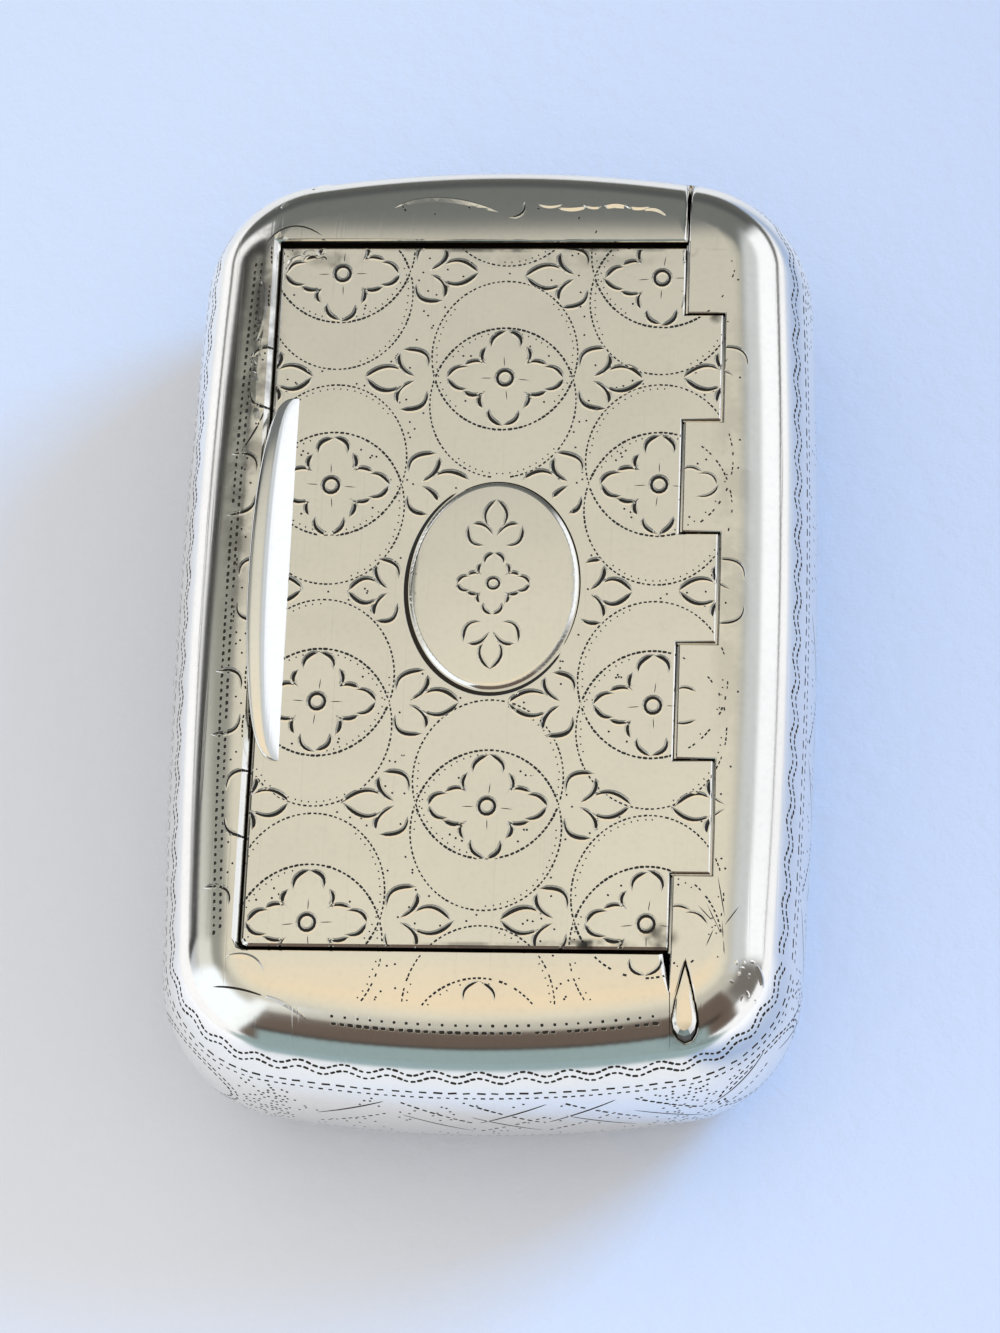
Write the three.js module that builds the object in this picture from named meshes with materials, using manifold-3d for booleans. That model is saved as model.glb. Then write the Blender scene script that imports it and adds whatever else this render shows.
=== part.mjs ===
// Pocket snuff box of sheet silver: a cushion-shaped case with a lid hinged flush in its top frame.
// Millimetres, +Z up. The origin is the centre of the underside. The hinge runs along Y on the +X
// side and the thumbpiece is on the -X side, so the far end of the box is +Y and the near end -Y.
import * as THREE from 'three';
import { mergeVertices } from 'three/addons/utils/BufferGeometryUtils.js';
import Module from 'manifold-3d';

const wasm = await Module();
wasm.setup();

// Outside of the case
const boxLength = 70;
const boxWidth = 44;
const boxHeight = 18;
const cornerRadius = 9; // plan corner at the widest level
const longSideBow = 0.6; // how far a long side swells out between its corners
const endBow = 1.0;
const edgeInset = 5.6; // from the widest outline in to the edge of the flat top
const rollRadius = 4.4; // round edge between the flat top and the side

// Sheet metal
const bandWall = 0.65;
const frameThickness = 1.0;
const rimDepth = 2.2; // how far the frame's rolled rim reaches down the side
const baseThickness = 0.9;

// Opening in the top frame
const frontStripWidth = 6.6; // at the middle of the thumbpiece side
const endStripWidth = 8.7;
const hingeAxisInset = 7.8; // from the widest point of the hinge side in to the hinge axis

// Lid
const lidGap = 0.2; // round the three free edges
const lidSeatGap = 0.1; // over the ledge
const flangeThickness = 1.0;
const flangeDepth = 1.8;
const flangeGap = 0.25; // between the lid's flange and the ledge

// Ledge under the frame that the lid comes down on
const ledgeReach = 0.9;
const ledgeSeat = 0.8;
const ledgeDepth = 1.2;

// Hinge
const knuckleRadius = 1.5;
const hingeAxisDepth = 0.83; // the knuckles are filed flush, this far above their axis
const endKnuckleLength = 5.5;
const middleKnuckleCount = 5; // lid, case, lid, case, lid
const knuckleGap = 0.14; // between neighbours along the hinge
const grooveGap = 0.1; // between a knuckle and the groove it lies in
const pinRadius = 0.45;
const pinGap = 0.08;
const bearerWidth = 2.6; // from the axis to the bearer's outer side
const bearerDepth = 2.7;
const bearerOverlap = 0.45; // how far the case bearer reaches under the knuckles, past the axis
const lidBearerWidth = 3.4;
const lidBearerDepth = 1.9;
const bearerGap = 0.3; // between the two bearers

// Plug that closes the pin's hole at the near end
const plugTipRadius = 0.84;
const plugTaper = 0.06; // gain of radius per millimetre towards the outside
const plugGap = 0.1;

// Applied pieces on the lid
const thumbLength = 27;
const thumbOffset = 0.6; // its middle lies a little towards the far end
const thumbWidth = 2.8;
const thumbEndWidth = 0.8;
const thumbHeight = 1.2;
const thumbSetback = 2.0; // from the opening's front edge to its straight inner side
const thumbLift = 0.3; // where it hangs over the frame
const plaqueWidth = 11.4;
const plaqueLength = 15.4;
const plaqueThickness = 0.45;
const plaqueBevel = 0.15;
const plaqueOffset = 0.45; // its centre lies a little towards the hinge

const trimGap = 0.2; // between inner pieces and the curved inside of the band

// Facets
const longSideSteps = 4;
const cornerSteps = 9;
const endSteps = 3;
const bulgeSteps = 8;
const rollSteps = 8; // from the side to the flat
const roundSteps = 32;
const pinSteps = 18;
const thumbSteps = 18;
const plaqueSteps = 48;

// Levels and places that follow
const frameUnderside = boxHeight - frameThickness;
const rimLevel = boxHeight - rimDepth;
const lidThickness = frameThickness - lidSeatGap;
const lidUnderside = boxHeight - lidThickness;
const hingeX = boxWidth / 2 - hingeAxisInset;
const hingeZ = boxHeight - hingeAxisDepth;
const grooveRadius = knuckleRadius + grooveGap;
const knuckleTopHalf = Math.sqrt(knuckleRadius ** 2 - hingeAxisDepth ** 2);
const frameSeamX = hingeX - knuckleTopHalf;
const openFront = -boxWidth / 2 + frontStripWidth;
const openHalfLength = boxLength / 2 - endStripWidth;
const lidFront = openFront + lidGap;
const lidHalfLength = openHalfLength - lidGap;
const knucklePitch = (2 * openHalfLength - 2 * endKnuckleLength) / middleKnuckleCount;
const far = boxLength; // past everything, for cutting blocks

// Plan outline: shallow arcs along the sides and ends, joined by corner arcs they are tangent to.
const cornerX = boxWidth / 2 - cornerRadius - longSideBow;
const cornerY = boxLength / 2 - cornerRadius - endBow;
const longSideReach = (cornerY ** 2 + longSideBow ** 2) / (2 * longSideBow);
const endReach = (cornerX ** 2 + endBow ** 2) / (2 * endBow);
const cornerStart = Math.asin(cornerY / longSideReach);
const cornerEnd = Math.PI / 2 - Math.asin(cornerX / endReach);

function outlinePoint(angle, inset) {
  const signX = Math.cos(angle) < 0 ? -1 : 1;
  const signY = Math.sin(angle) < 0 ? -1 : 1;
  const turn = Math.atan2(Math.abs(Math.sin(angle)), Math.abs(Math.cos(angle)));
  let centre = [cornerX, cornerY];
  let radius = cornerRadius;
  if (turn < cornerStart) {
    centre = [boxWidth / 2 - cornerRadius - longSideReach, 0];
    radius = cornerRadius + longSideReach;
  } else if (turn > cornerEnd) {
    centre = [0, boxLength / 2 - cornerRadius - endReach];
    radius = cornerRadius + endReach;
  }
  const reach = radius - inset;
  return [signX * (centre[0] + reach * Math.cos(turn)), signY * (centre[1] + reach * Math.sin(turn))];
}

function outlineAngles() {
  const stops = [
    [-cornerStart, cornerStart, 2 * longSideSteps],
    [cornerStart, cornerEnd, cornerSteps],
    [cornerEnd, Math.PI - cornerEnd, 2 * endSteps],
    [Math.PI - cornerEnd, Math.PI - cornerStart, cornerSteps],
  ];
  const half = stops.flatMap(([from, to, steps]) => spread(from, to, steps).slice(0, -1));
  return [...half, ...half.map((angle) => angle + Math.PI)];
}

function spread(from, to, steps) {
  return Array.from({ length: steps + 1 }, (_, i) => from + ((to - from) * i) / steps);
}

// Upright section: one bulging arc at mid-height and a roll arc above and below it. A point is
// given by the slope angle of its normal, and offset is how far it lies inside the outer face.
const midHeight = boxHeight / 2;
const rollCentre = midHeight - rollRadius;
const rollStart = 2 * Math.atan((edgeInset - rollRadius) / rollCentre);
const bulgeRadius = rollRadius + rollCentre / Math.sin(rollStart);

function sectionPoint(slope, offset) {
  if (Math.abs(slope) <= rollStart) {
    const radius = bulgeRadius - offset;
    return [bulgeRadius - radius * Math.cos(slope), midHeight + radius * Math.sin(slope)];
  }
  const radius = rollRadius - offset;
  const level = midHeight + Math.sign(slope) * rollCentre;
  return [edgeInset - radius * Math.cos(slope), level + radius * Math.sin(slope)];
}

function slopeAt(level, offset) {
  const rise = Math.abs(level - midHeight);
  const bulge = bulgeRadius - offset;
  const inBulge = rise <= bulge * Math.sin(rollStart);
  const sine = inBulge ? rise / bulge : (rise - rollCentre) / (rollRadius - offset);
  return Math.sign(level - midHeight) * Math.asin(sine);
}

// Slopes along part of a roll, without the last one, at about the same step whatever the part.
function rollRun(from, to) {
  const steps = Math.ceil((rollSteps * (to - from)) / (Math.PI / 2 - rollStart));
  return spread(from, to, steps).slice(0, -1);
}

// Section points from one level up to another, on the outer face or inside it.
function sectionRun(bottom, top, offset) {
  const from = bottom > 0 ? slopeAt(bottom, offset) : -Math.PI / 2;
  const to = top < boxHeight ? slopeAt(top, offset) : Math.PI / 2;
  const slopes = [];
  if (from < -rollStart) {
    slopes.push(...rollRun(from, Math.min(to, -rollStart)));
  }
  if (to > -rollStart && from < rollStart) {
    slopes.push(...spread(Math.max(from, -rollStart), Math.min(to, rollStart), bulgeSteps).slice(0, -1));
  }
  if (to > rollStart) {
    slopes.push(...rollRun(Math.max(from, rollStart), to));
  }
  return [...slopes, to].map((slope) => sectionPoint(slope, offset));
}

// Rings of points joined to a closed surface: capped at both ends, or closed on itself.
function loft(rings, closed) {
  const count = rings[0].length;
  const points = rings.flat();
  const faces = [];
  const last = closed ? rings.length : rings.length - 1;
  for (let r = 0; r < last; r++) {
    for (let i = 0; i < count; i++) {
      const a = r * count + i;
      const b = r * count + ((i + 1) % count);
      const above = ((r + 1) % rings.length) * count - r * count;
      faces.push([a, b, b + above], [a, b + above, a + above]);
    }
  }
  if (!closed) {
    const bottom = points.push(middleOf(rings[0])) - 1;
    const top = points.push(middleOf(rings.at(-1))) - 1;
    const start = (rings.length - 1) * count;
    for (let i = 0; i < count; i++) {
      const next = (i + 1) % count;
      faces.push([bottom, next, i], [top, start + i, start + next]);
    }
  }
  const geometry = new THREE.BufferGeometry();
  geometry.setAttribute('position', new THREE.Float32BufferAttribute(points.flat(), 3));
  geometry.setIndex(faces.flat());
  return geometry;
}

function middleOf(ring) {
  return [0, 1, 2].map((axis) => ring.reduce((sum, point) => sum + point[axis], 0) / ring.length);
}

function outlineRings(section) {
  const angles = outlineAngles();
  return section.map(([inset, level]) => angles.map((angle) => [...outlinePoint(angle, inset), level]));
}

// Primitives
function block(x, y, z) {
  const geometry = new THREE.BoxGeometry(x[1] - x[0], y[1] - y[0], z[1] - z[0]);
  return geometry.translate((x[0] + x[1]) / 2, (y[0] + y[1]) / 2, (z[0] + z[1]) / 2);
}

// A rod or cone on the hinge axis, from one Y to a greater one.
function hingeRod(y, radiusAtStart, radiusAtEnd, steps) {
  const geometry = new THREE.CylinderGeometry(radiusAtEnd, radiusAtStart, y[1] - y[0], steps);
  return geometry.translate(0, (y[0] + y[1]) / 2, 0).translate(hingeX, 0, hingeZ);
}

// Booleans
function solid(geometry) {
  const bare = geometry.clone();
  bare.deleteAttribute('normal');
  bare.deleteAttribute('uv');
  const merged = mergeVertices(bare, 1e-5);
  const mesh = new wasm.Mesh({
    numProp: 3,
    vertProperties: new Float32Array(merged.attributes.position.array),
    triVerts: new Uint32Array(merged.index.array),
  });
  return new wasm.Manifold(mesh);
}

function cut(geometry, ...tools) {
  return toGeometry(tools.reduce((body, tool) => body.subtract(solid(tool)), solid(geometry)));
}

function keep(geometry, tool) {
  return toGeometry(solid(geometry).intersect(solid(tool)));
}

function toGeometry(body) {
  const mesh = body.getMesh();
  const geometry = new THREE.BufferGeometry();
  geometry.setAttribute('position', new THREE.BufferAttribute(new Float32Array(mesh.vertProperties), 3));
  geometry.setIndex(new THREE.BufferAttribute(new Uint32Array(mesh.triVerts), 1));
  geometry.computeVertexNormals();
  return geometry;
}

// Shapes that several pieces are cut with
const openLength = [-openHalfLength, openHalfLength];
const frameLevels = [rimLevel, boxHeight];
const openGroove = () => hingeRod(openLength, grooveRadius, grooveRadius, roundSteps);
const plugStart = -openHalfLength - knuckleGap;
const outerSolid = () => loft(outlineRings(sectionRun(0, boxHeight, 0)), false);
const insideOfBand = () => {
  const section = sectionRun(baseThickness, frameUnderside, bandWall + trimGap);
  return loft(outlineRings(section), false);
};

function plugCone(gap) {
  const tip = plugTipRadius + gap;
  const mouth = tip + plugTaper * (boxLength / 2 + plugStart);
  return hingeRod([-boxLength / 2, plugStart], mouth, tip, roundSteps);
}

// Case
function sideBand() {
  const outer = sectionRun(baseThickness, rimLevel, 0);
  const inner = sectionRun(baseThickness, rimLevel, bandWall);
  return cut(loft(outlineRings([...outer, ...inner.reverse()]), true), plugCone(plugGap));
}

function basePlate() {
  return loft(outlineRings(sectionRun(0, baseThickness, 0)), false);
}

// The top frame is one sheet whose rolled rim carries on the wall of the band.
function frameBlank() {
  const inside = sectionRun(baseThickness, frameUnderside, bandWall);
  const outside = sectionRun(rimLevel, boxHeight, 0);
  return cut(loft(outlineRings(outside), false), loft(outlineRings(inside), false));
}

function frameFrontStrip() {
  return keep(frameBlank(), block([-far, openFront], openLength, frameLevels));
}

function frameEndStrip(side) {
  const y = side > 0 ? [openHalfLength, far] : [-far, -openHalfLength];
  return keep(frameBlank(), block([-far, frameSeamX], y, frameLevels));
}

function frameHingeRail() {
  const rail = keep(frameBlank(), block([frameSeamX, far], [-far, far], frameLevels));
  const channel = block([frameSeamX - 1, hingeX], openLength, frameLevels);
  return cut(rail, channel, openGroove(), plugCone(plugGap));
}

const ledgeX = [openFront - ledgeSeat, openFront + ledgeReach];
const ledgeLevels = [frameUnderside - ledgeDepth, frameUnderside];

function ledgeFront() {
  const reach = openHalfLength + ledgeSeat;
  return keep(block(ledgeX, [-reach, reach], ledgeLevels), insideOfBand());
}

function ledgeEnd(side) {
  const inner = side * (openHalfLength - ledgeReach);
  const outer = side * (openHalfLength + ledgeSeat);
  const y = [Math.min(inner, outer), Math.max(inner, outer)];
  return keep(block([ledgeX[1], hingeX - grooveRadius - grooveGap], y, ledgeLevels), insideOfBand());
}

function caseHingeBearer() {
  const reach = openHalfLength + ledgeSeat;
  const levels = [frameUnderside - bearerDepth, frameUnderside];
  const bar = block([hingeX - bearerOverlap, hingeX + bearerWidth], [-reach, reach], levels);
  const groove = hingeRod([-reach - 1, openHalfLength], grooveRadius, grooveRadius, roundSteps);
  return keep(cut(bar, groove), insideOfBand());
}

// Hinge tubes and pin
function knuckle(y) {
  const tube = hingeRod(y, knuckleRadius, knuckleRadius, roundSteps);
  const bore = hingeRod([y[0] - 1, y[1] + 1], pinRadius + pinGap, pinRadius + pinGap, pinSteps);
  return cut(tube, bore, block([-far, far], [-far, far], [boxHeight, boxHeight + knuckleRadius]));
}

function knuckleSpan(index) {
  const start = -openHalfLength + (index > 0 ? endKnuckleLength + (index - 1) * knucklePitch : 0);
  const length = index > 0 && index <= middleKnuckleCount ? knucklePitch : endKnuckleLength;
  return [start + knuckleGap / 2, start + length - knuckleGap / 2];
}

function hingePin() {
  return hingeRod([plugStart + knuckleGap, openHalfLength - knuckleGap], pinRadius, pinRadius, pinSteps);
}

function hingePlug() {
  return keep(plugCone(0), outerSolid());
}

// Lid
function lidPlate() {
  const plate = block([lidFront, hingeX], [-lidHalfLength, lidHalfLength], [lidUnderside, boxHeight]);
  return cut(plate, openGroove());
}

const flangeFrontX = ledgeX[1] + flangeGap;
const flangeHalfLength = openHalfLength - ledgeReach - flangeGap;
const flangeSpan = [-flangeHalfLength, flangeHalfLength];
const flangeLevels = [lidUnderside - flangeDepth, lidUnderside];
const lidBearerX = [hingeX - lidBearerWidth, hingeX - bearerOverlap - bearerGap];

function lidFlangeFront() {
  return block([flangeFrontX, flangeFrontX + flangeThickness], flangeSpan, flangeLevels);
}

function lidFlangeEnd(side) {
  const outer = side * flangeHalfLength;
  const inner = side * (flangeHalfLength - flangeThickness);
  const y = [Math.min(inner, outer), Math.max(inner, outer)];
  return block([flangeFrontX + flangeThickness, lidBearerX[0]], y, flangeLevels);
}

function lidHingeBearer() {
  const bar = block(lidBearerX, flangeSpan, [lidUnderside - lidBearerDepth, lidUnderside]);
  return cut(bar, openGroove());
}

// A bow in plan, straight on its inner side, with a rounded back, lifted clear of the frame.
function thumbpiece() {
  const innerSide = openFront + thumbSetback;
  const ring = (t) => {
    const y = thumbOffset + (t * thumbLength) / 2;
    const width = thumbEndWidth + (thumbWidth - thumbEndWidth) * (1 - t * t);
    const height = thumbHeight * Math.sqrt(width / thumbWidth);
    return spread(Math.PI, 0, roundSteps / 4).map((turn) => [
      innerSide - (width / 2) * (1 - Math.cos(turn)),
      y,
      boxHeight + height * Math.sin(turn) ** 0.7,
    ]);
  };
  const bow = loft(spread(-1, 1, thumbSteps).map(ring), false);
  return cut(bow, block([-far, lidFront], [-far, far], [boxHeight - 1, boxHeight + thumbLift]));
}

function cartouchePlaque() {
  const ring = (inset, level) => spread(0, 2 * Math.PI, plaqueSteps).slice(0, -1).map((turn) => [
    plaqueOffset + (plaqueWidth / 2 - inset) * Math.cos(turn),
    (plaqueLength / 2 - inset) * Math.sin(turn),
    boxHeight + level,
  ]);
  const shoulder = plaqueThickness - plaqueBevel;
  return loft([ring(0, 0), ring(0, shoulder), ring(plaqueBevel, plaqueThickness)], false);
}

// Finishes
const silver = new THREE.MeshStandardMaterial({ color: 0xd9d8d4, roughness: 0.18, metalness: 1 });
const wornSilver = new THREE.MeshStandardMaterial({ color: 0xcfc7b4, roughness: 0.3, metalness: 1 });
const gilt = new THREE.MeshStandardMaterial({ color: 0xd2a85a, roughness: 0.3, metalness: 1 });
const hingeSilver = new THREE.MeshStandardMaterial({ color: 0xb9b6ae, roughness: 0.35, metalness: 1 });

function piece(name, geometry, material) {
  const mesh = new THREE.Mesh(geometry, material);
  mesh.name = name;
  return mesh;
}

const snuffBox = new THREE.Group();
snuffBox.add(
  piece('side_band', sideBand(), silver),
  piece('base_plate', basePlate(), silver),
  piece('frame_front_strip', frameFrontStrip(), wornSilver),
  piece('frame_far_strip', frameEndStrip(1), wornSilver),
  piece('frame_near_strip', frameEndStrip(-1), wornSilver),
  piece('frame_hinge_rail', frameHingeRail(), wornSilver),
  piece('ledge_front', ledgeFront(), gilt),
  piece('ledge_far', ledgeEnd(1), gilt),
  piece('ledge_near', ledgeEnd(-1), gilt),
  piece('case_hinge_bearer', caseHingeBearer(), gilt),
  piece('hinge_pin', hingePin(), hingeSilver),
  piece('hinge_plug', hingePlug(), wornSilver),
  piece('lid_plate', lidPlate(), wornSilver),
  piece('lid_flange_front', lidFlangeFront(), gilt),
  piece('lid_flange_far', lidFlangeEnd(1), gilt),
  piece('lid_flange_near', lidFlangeEnd(-1), gilt),
  piece('lid_hinge_bearer', lidHingeBearer(), gilt),
  piece('thumbpiece', thumbpiece(), silver),
  piece('cartouche_plaque', cartouchePlaque(), wornSilver),
);

// The tubes alternate from the near end: case, lid, case, and so on, and the case has both ends.
for (let index = 0; index <= middleKnuckleCount + 1; index++) {
  const owner = index % 2 === 0 ? 'case' : 'lid';
  const order = Math.floor(index / 2) + 1;
  snuffBox.add(piece(`${owner}_knuckle_${order}`, knuckle(knuckleSpan(index)), hingeSilver));
}

export default snuffBox;
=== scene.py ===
"""Looks of an engraved silver pocket snuff box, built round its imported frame.

Lengths in the helpers are millimetres in the frame's axes: X across to the hinge, Y along, Z up.
"""

import math
import random

import bpy
import numpy as np
from mathutils import Matrix, Vector, kdtree
from mathutils.geometry import delaunay_2d_cdt


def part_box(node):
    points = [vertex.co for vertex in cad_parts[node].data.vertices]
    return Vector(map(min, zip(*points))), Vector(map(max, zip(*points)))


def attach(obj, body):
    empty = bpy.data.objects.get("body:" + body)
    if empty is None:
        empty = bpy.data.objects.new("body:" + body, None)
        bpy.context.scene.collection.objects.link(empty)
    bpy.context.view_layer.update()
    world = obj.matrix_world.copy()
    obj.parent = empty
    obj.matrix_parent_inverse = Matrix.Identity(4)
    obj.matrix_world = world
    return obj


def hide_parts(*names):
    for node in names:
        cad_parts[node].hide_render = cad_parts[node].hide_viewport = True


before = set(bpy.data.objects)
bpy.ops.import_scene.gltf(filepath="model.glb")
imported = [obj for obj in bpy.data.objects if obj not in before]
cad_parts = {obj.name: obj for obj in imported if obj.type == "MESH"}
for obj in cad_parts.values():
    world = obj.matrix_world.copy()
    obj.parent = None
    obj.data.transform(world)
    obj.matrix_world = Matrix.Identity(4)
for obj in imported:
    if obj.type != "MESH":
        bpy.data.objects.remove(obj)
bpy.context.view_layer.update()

bl_info = {
    "name": "Engraved snuff box",
    "version": (1, 0, 0),
    "blender": (4, 5, 0),
    "location": "3D View > Sidebar > Snuff box",
    "description": "Builds the dressed pieces of a silver snuff box round its solid parts",
    "category": "Object",
}

MM = 0.001


def edge(node, side, axis):
    """Where a solid part ends, in millimetres: side 0 is its low end and 1 its high end."""
    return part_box(node)[side][axis] / MM


def roll_inset(level):
    """Inset of the rolled edge at a level."""
    return FLAT_INSET - math.sqrt(ROLL**2 - (level - MIDDLE - ROLL_RISE) ** 2)


# Case outline and section, the same arcs as the solids have
WIDTH = edge("side_band", 1, 0) - edge("side_band", 0, 0)
LENGTH = edge("side_band", 1, 1) - edge("side_band", 0, 1)
TOP = edge("frame_front_strip", 1, 2)
RIM = edge("frame_front_strip", 0, 2)
FOOT = edge("base_plate", 1, 2)
FRAME_SHEET = 1.0
FRAME_UNDER = TOP - FRAME_SHEET
CORNER = 9.0
SIDE_BOW = 0.6
END_BOW = 1.0
FLAT_INSET = 5.6
ROLL = 4.4
WALL = 0.65
MIDDLE = TOP / 2
ROLL_RISE = MIDDLE - ROLL
ROLL_START = 2 * math.atan((FLAT_INSET - ROLL) / ROLL_RISE)
BULGE = ROLL + ROLL_RISE / math.sin(ROLL_START)
CORNER_X = WIDTH / 2 - CORNER - SIDE_BOW
CORNER_Y = LENGTH / 2 - CORNER - END_BOW
SIDE_REACH = (CORNER_Y**2 + SIDE_BOW**2) / (2 * SIDE_BOW)
END_REACH = (CORNER_X**2 + END_BOW**2) / (2 * END_BOW)
SIDE_CENTRE = WIDTH / 2 - CORNER - SIDE_REACH
END_CENTRE = LENGTH / 2 - CORNER - END_REACH
CORNER_START = math.asin(CORNER_Y / SIDE_REACH)
CORNER_END = math.pi / 2 - math.asin(CORNER_X / END_REACH)
CROWN_SLOPE = 0.12
CROWN_RUN = 2.9
RIM_INSET = roll_inset(RIM)
# Share of the roll's radius that the upper faces follow before they get too steep
ROLL_SHARE = 0.98
# Inset given to a point for an arc that it doesn't belong to
OFF_ARC = 1e3

# Opening, hinge and applied pieces
OPEN_FRONT = edge("frame_front_strip", 1, 0)
OPEN_END = edge("frame_front_strip", 1, 1)
LID_FRONT = edge("lid_plate", 0, 0)
LID_END = edge("lid_plate", 1, 1)
LID_UNDER = edge("lid_plate", 0, 2)
SEAM_X = edge("frame_near_strip", 1, 0)
AXIS_X = (edge("case_knuckle_1", 0, 0) + edge("case_knuckle_1", 1, 0)) / 2
TUBE = edge("case_knuckle_1", 1, 0) - AXIS_X
AXIS_Z = edge("case_knuckle_1", 0, 2) + TUBE
BORE = 0.53
TONGUE_X = 2 * AXIS_X - SEAM_X
TONGUE_GAP = 0.08
TUBE_COVER = 0.2
TUBE_TOP = TOP - TUBE_COVER
PLUG_X = AXIS_X - 0.25
# The lid's edge by the hinge, and where the undersides of lid and rail step up over the tubes
LID_SEAM = SEAM_X - 0.17
LID_STEP = (SEAM_X - 0.36, SEAM_X - 0.3)
RAIL_STEP = (TONGUE_X + 0.24, TONGUE_X + 0.3)
# Share of the lid's bevel that the edges of the hinge joint have
JOINT_BEVEL = 0.55


# Shape of the case


def plan(x, y):
    """Inset from the widest outline and the direction outwards, for points in plan."""
    ax, ay = np.abs(x), np.abs(y)
    across, along = ax - SIDE_CENTRE, ay - END_CENTRE
    corner_x, corner_y = ax - CORNER_X, ay - CORNER_Y
    turn = np.arctan2(corner_y, corner_x)
    side = CORNER + SIDE_REACH - np.hypot(across, ay)
    end = CORNER + END_REACH - np.hypot(ax, along)
    side = np.where(np.arctan2(ay, across) < CORNER_START, side, OFF_ARC)
    end = np.where(np.arctan2(along, ax) > CORNER_END, end, OFF_ARC)
    round_corner = (turn > CORNER_START) & (turn < CORNER_END)
    vx = np.where(round_corner, corner_x, np.where(side < end, across, ax))
    vy = np.where(round_corner, corner_y, np.where(side < end, ay, along))
    inset = np.where(round_corner, CORNER - np.hypot(corner_x, corner_y), np.minimum(side, end))
    reach = np.maximum(np.hypot(vx, vy), 1e-9)
    return inset, np.sign(x) * vx / reach, np.sign(y) * vy / reach


def crown(y):
    """How far the end strips sink below the level of the lid, and how fast."""
    over = np.maximum(np.abs(y) - OPEN_END, 0)
    first = np.minimum(over, CROWN_RUN)
    rest = np.clip(over - CROWN_RUN, 0, CROWN_RUN)
    rate = CROWN_SLOPE / CROWN_RUN
    sink = rate * first**2 / 2 + CROWN_SLOPE * rest - rate * rest**2 / 2
    return sink, rate * (first - rest) * np.sign(y)


def top_surface(x, y):
    """Points and normals of the upper face of the lid and the frame, over points in plan."""
    inset, ox, oy = plan(x, y)
    lean = np.clip(FLAT_INSET - inset, 0, ROLL * ROLL_SHARE)
    rise = np.sqrt(ROLL**2 - lean**2)
    sink, sink_rate = crown(y)
    z = MIDDLE + ROLL_RISE + rise - sink
    slope = lean / rise
    normal = np.stack([slope * ox, slope * oy + sink_rate, np.ones_like(z)], 1)
    return np.stack([x, y, z], 1), normal / np.linalg.norm(normal, axis=1)[:, None]


def rim_under(x, y):
    """Height of the underside of the frame: flat, then down the inside of its rolled rim."""
    inset, _, _ = plan(x, y)
    lean = np.clip(FLAT_INSET - inset, 0, ROLL - WALL)
    inner = MIDDLE + ROLL_RISE + np.sqrt((ROLL - WALL) ** 2 - lean**2)
    return np.clip(inner, RIM, FRAME_UNDER) - crown(y)[0]


def outline_arcs():
    """The widest outline as arcs: centre, radius, first and last angle, anticlockwise from the hinge side."""
    arcs = [
        (SIDE_CENTRE, 0, CORNER + SIDE_REACH, -CORNER_START, CORNER_START),
        (CORNER_X, CORNER_Y, CORNER, CORNER_START, CORNER_END),
        (0, END_CENTRE, CORNER + END_REACH, CORNER_END, math.pi - CORNER_END),
        (-CORNER_X, CORNER_Y, CORNER, math.pi - CORNER_END, math.pi - CORNER_START),
    ]
    return arcs + [(-x, -y, r, a + math.pi, b + math.pi) for x, y, r, a, b in arcs]


ARCS = outline_arcs()
ARC_STARTS = np.cumsum([0] + [r * (b - a) for _, _, r, a, b in ARCS])
GIRTH = float(ARC_STARTS[-1])


def arc_middles(*arcs):
    """Distances round the outline to the middles of some of its arcs."""
    return [float((ARC_STARTS[i] + ARC_STARTS[i + 1]) / 2) for i in arcs]


CORNER_MIDDLES = arc_middles(1, 3, 5, 7)
SIDE_MIDDLES = [0.0, *arc_middles(2, 4, 6)]


def outline_at(u, inset):
    """Plan point and direction outwards at a distance round the widest outline."""
    u = np.mod(u, GIRTH)
    index = np.clip(np.searchsorted(ARC_STARTS, u, "right") - 1, 0, len(ARCS) - 1)
    table = np.array(ARCS)[index]
    angle = table[:, 3] + (u - ARC_STARTS[index]) / table[:, 2]
    ox, oy = np.cos(angle), np.sin(angle)
    reach = table[:, 2] - inset
    return table[:, 0] + reach * ox, table[:, 1] + reach * oy, ox, oy


def section(v, offset=0.0):
    """Inset, height and slope of the side wall at a distance up or down from mid-height."""
    bend = BULGE * ROLL_START
    over = np.maximum(np.abs(v) - bend, 0) / ROLL
    slope = np.sign(v) * (np.minimum(np.abs(v), bend) / BULGE + over)
    rolled = over > 0
    inset = np.where(rolled, FLAT_INSET - (ROLL - offset) * np.cos(slope),
                     BULGE - (BULGE - offset) * np.cos(slope))
    z = np.where(rolled, MIDDLE + np.sign(v) * ROLL_RISE + (ROLL - offset) * np.sin(slope),
                 MIDDLE + (BULGE - offset) * np.sin(slope))
    return inset, z, slope


def reach_of(z):
    """Distance along the wall from mid-height to a level."""
    rise = abs(z - MIDDLE)
    if rise <= BULGE * math.sin(ROLL_START):
        return math.copysign(BULGE * math.asin(rise / BULGE), z - MIDDLE)
    slope = math.asin((rise - ROLL_RISE) / ROLL)
    return math.copysign(BULGE * ROLL_START + ROLL * (slope - ROLL_START), z - MIDDLE)


def side_surface(u, v, offset=0.0):
    """Points and normals of the side wall."""
    inset, z, slope = section(v, offset)
    x, y, ox, oy = outline_at(u, inset)
    z = z - crown(y)[0] * np.clip((z - MIDDLE) / (RIM - MIDDLE), 0, 1)
    normal = np.stack([ox * np.cos(slope), oy * np.cos(slope), np.sin(slope)], 1)
    return np.stack([x, y, z], 1), normal


# Engraving


# How far the metal pushed up beside a cut reaches
BURR_REACH = 0.12
# Outline of a dash, in shares of its length and width
DASH = [(0.5, 0), (0.36, 0.5), (-0.36, 0.5), (-0.5, 0), (-0.36, -0.5), (0.36, -0.5)]
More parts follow.
